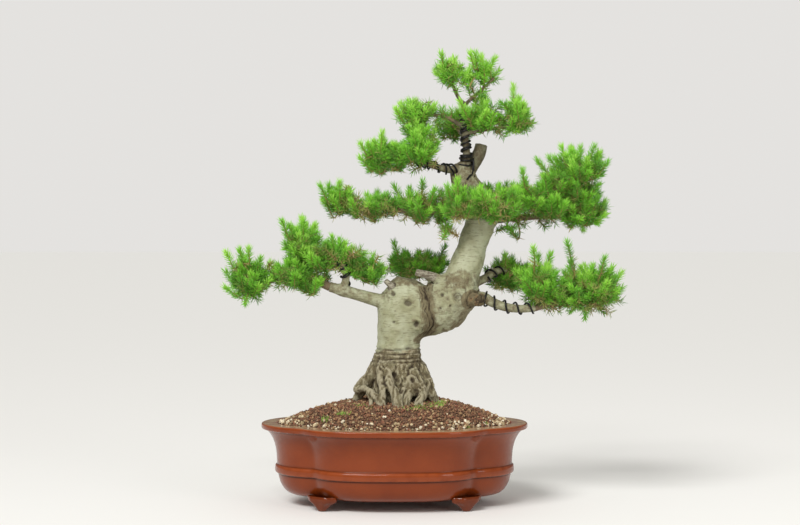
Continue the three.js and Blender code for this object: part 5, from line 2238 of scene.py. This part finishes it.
    def dress(self, twigs: Material, needles: Material) -> None:
        """Publishes the twigs and the needles.

        Args:
            twigs: The twigs' finish.
            needles: The needles' finish.
        """
        self.branch_out()
        node = f"spray_{self.name}"
        LOG.info("%s: %d shoots", node, len(self.shoots))
        set_down(self.timber(), f"{node}_twigs", twigs, node)
        set_down(self.needle_mesh(), f"{node}_needles", needles, node)


# ---- Training wire ----


@dataclass(frozen=True)
class Wire:
    """Training wire wound on a branch.

    Args:
        on: The branch, or "leader".
        start: The station that it starts at.
        end: The station that it ends at.
        turns: How many turns it makes.
        phase: Turns its start about the branch.
        radius: Half its thickness.
        looseness: How far off the bark it runs.
        steps: Its points to a turn.
    """

    on: str
    start: float
    end: float
    turns: float
    phase: float
    radius: float = 1.6
    looseness: float = 1.1
    steps: int = 24

    def line(self) -> Line:
        """Returns the wire's centre line."""
        host = Line.through(LEADER if self.on == "leader" else BRANCHES[self.on][1])
        count = round(self.turns * self.steps)
        marks = [host.at(self.start + (self.end - self.start) * i / count) for i in range(count + 1)]
        spine = Line(np.array([m[0] for m in marks]), np.array([m[1] for m in marks]))
        rows = []
        for i, (_, side, other) in enumerate(spine.frames()):
            angle = self.phase + i * TURN / self.steps
            reach = (spine.radii[i] + self.radius) * self.looseness
            place = Vector(spine.places[i]) + (side * math.cos(angle) + other * math.sin(angle)) * reach
            rows.append((*place, self.radius))
        return Line.through(rows)

    def dress(self, name: str, finish: Material) -> None:
        """Publishes the wire as the piece of that name."""
        set_down(round_timber([self.line()], 3), name, finish, f"wire_{self.on}")


WIRES: dict[str, Wire] = {
    "wire_right_low_turns": Wire("right_low", 1.2, 4.9, 4.5, 0),
    "wire_right_back_turns": Wire("right_back", 1.1, 2.9, 2.5, 1.2),
    "wire_left_crown_first": Wire("left_crown", 0.5, 2.6, 3.2, -0.4),
    "wire_left_crown_second": Wire("left_crown", 0.7, 2.9, 2.1, 1.9),
    "wire_leader_first": Wire("leader", 2.3, 6.6, 8.2, -8.75),
    "wire_leader_second": Wire("leader", 1.2, 5.4, 5, -0.4),
    "wire_leader_third": Wire("leader", 0.1, 2.7, 0.22, -1.25, looseness=1.35, steps=60),
    "wire_leader_fourth": Wire("leader", 0.1, 2.5, 0.12, -0.6, looseness=1.35, steps=80),
    "wire_upper_left_first": Wire("upper_left", 0.6, 3.3, 4.1, -2.37),
    "wire_upper_left_second": Wire("upper_left", 0.4, 3.1, 2.6, 1.2),
}


# ---- Studio ----


@dataclass(frozen=True)
class Studio:
    """The floor, the lights and the camera.

    Args:
        eye: The camera's place, in millimetres from the pot's axis.
        tilt: How far down it looks, in degrees.
        lens: Its focal length in millimetres.
        key_from: Where the main light comes from.
        key_power: Its strength.
        key_softness: How wide it looks, in degrees.
        sky_light: How bright the surroundings light the tree.
        sky_mirrored: How bright they are in the glaze.
        sky_seen: How bright they look themselves.
        sky_tint: Their colour, as linear light.
    """

    eye: Triple = (9.1, -2812, 436)
    tilt: float = 0.758
    lens: float = 76.5
    key_from: Triple = (-1.65, -2.55, 3.0)
    key_power: float = 2.0
    key_softness: float = 24
    sky_light: float = 0.55
    sky_mirrored: float = 0.17
    sky_seen: float = 0.775
    sky_tint: Triple = (1, 0.982, 0.955)

    # The soft boxes: place in metres from the pot's foot, width, height and watts.
    SOFTBOXES: ClassVar[dict[str, tuple[Triple, float, float, float]]] = {
        "fill": ((1.9, -2.0, 0.9), 0.9, 1.2, 14), "window": ((-0.5, -2.4, 2.1), 0.9, 0.3, 24),
    }

    def build(self) -> None:
        """Sets up the studio."""
        self.lay_floor()
        self.brighten()
        self.hang_lights()
        self.point_camera()

    @staticmethod
    def lay_floor() -> None:
        """Lays the floor under the pot."""
        work = bmesh.new()
        bmesh.ops.create_grid(work, x_segments=1, y_segments=1, size=60)
        bmesh.ops.translate(work, verts=work.verts[:], vec=foot())
        floor = placed("floor", mesh_from(work, "floor"))
        floor.data.materials.append(Floor().material())

    def brighten(self) -> None:
        """Gives the scene pale surroundings, dimmer as a light than they look."""
        world = bpy.data.worlds.new("surroundings")
        world.use_nodes = True
        desk = Desk(world.node_tree, world.node_tree.nodes["Background"])
        rays = desk.place("LightPath").outputs
        strength = desk.span(rays["Is Camera Ray"], 0, 1, self.sky_light, self.sky_seen)
        mirrored = desk.times(rays["Is Glossy Ray"], self.sky_light - self.sky_mirrored)
        desk.feed("Color", (*self.sky_tint, 1))
        desk.feed("Strength", desk.maths("SUBTRACT", strength, mirrored))
        bpy.context.scene.world = world

    def hang_lights(self) -> None:
        """Hangs the main light, and the fill and window lights that show in the glaze."""
        key = bpy.data.lights.new("key", "SUN")
        key.energy = self.key_power
        key.angle = math.radians(self.key_softness)
        self.hang(key, self.key_from, 0)
        for name, (place, wide, high, power) in self.SOFTBOXES.items():
            box = bpy.data.lights.new(name, "AREA")
            box.shape = "RECTANGLE"
            box.size, box.size_y = wide, high
            box.energy = power
            self.hang(box, place, 0.25)

    @staticmethod
    def hang(light: bpy.types.Light, place: Triple, aim_height: float) -> None:
        """Hangs a light and aims it.

        Args:
            light: The light.
            place: Where it hangs, in metres from the pot's foot.
            aim_height: How high over the pot's foot it points.
        """
        lamp = placed(light.name, light)
        lamp.location = foot() + Vector(place)
        aim = Vector((0, 0, aim_height)) - Vector(place)
        lamp.rotation_euler = aim.to_track_quat("-Z", "Y").to_euler()

    def point_camera(self) -> None:
        """Sets up the camera in front of the tree."""
        data = bpy.data.cameras.new("camera")
        data.lens = self.lens
        data.sensor_width = 36
        data.clip_start, data.clip_end = 0.1, 200
        camera = placed("camera", data)
        camera.location = foot() + Vector(self.eye) * MM
        camera.rotation_euler = (math.radians(90 - self.tilt), 0, 0)
        bpy.context.scene.camera = camera
        bpy.context.scene.view_settings.view_transform = "Standard"


# ---- The whole ----


def main() -> None:
    """Builds the whole piece around the frame."""
    logging.basicConfig(level=logging.INFO, format="%(name)s %(message)s")
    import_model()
    Studio().build()
    pot = Pot()
    pot.dress()
    wood = Wood()
    wood.dress()
    Soil(pot).dress(wood)
    growth = Growth()
    twigs, needles = Twigs().material(), Needles().material()
    for index, name in enumerate(BRANCHES):
        Spray(name, growth, growth.seed + growth.seed_step * index).dress(twigs, needles)
    black = BlackWire().material()
    for name, wire in WIRES.items():
        wire.dress(name, black)


if __name__ == "__main__":
    main()
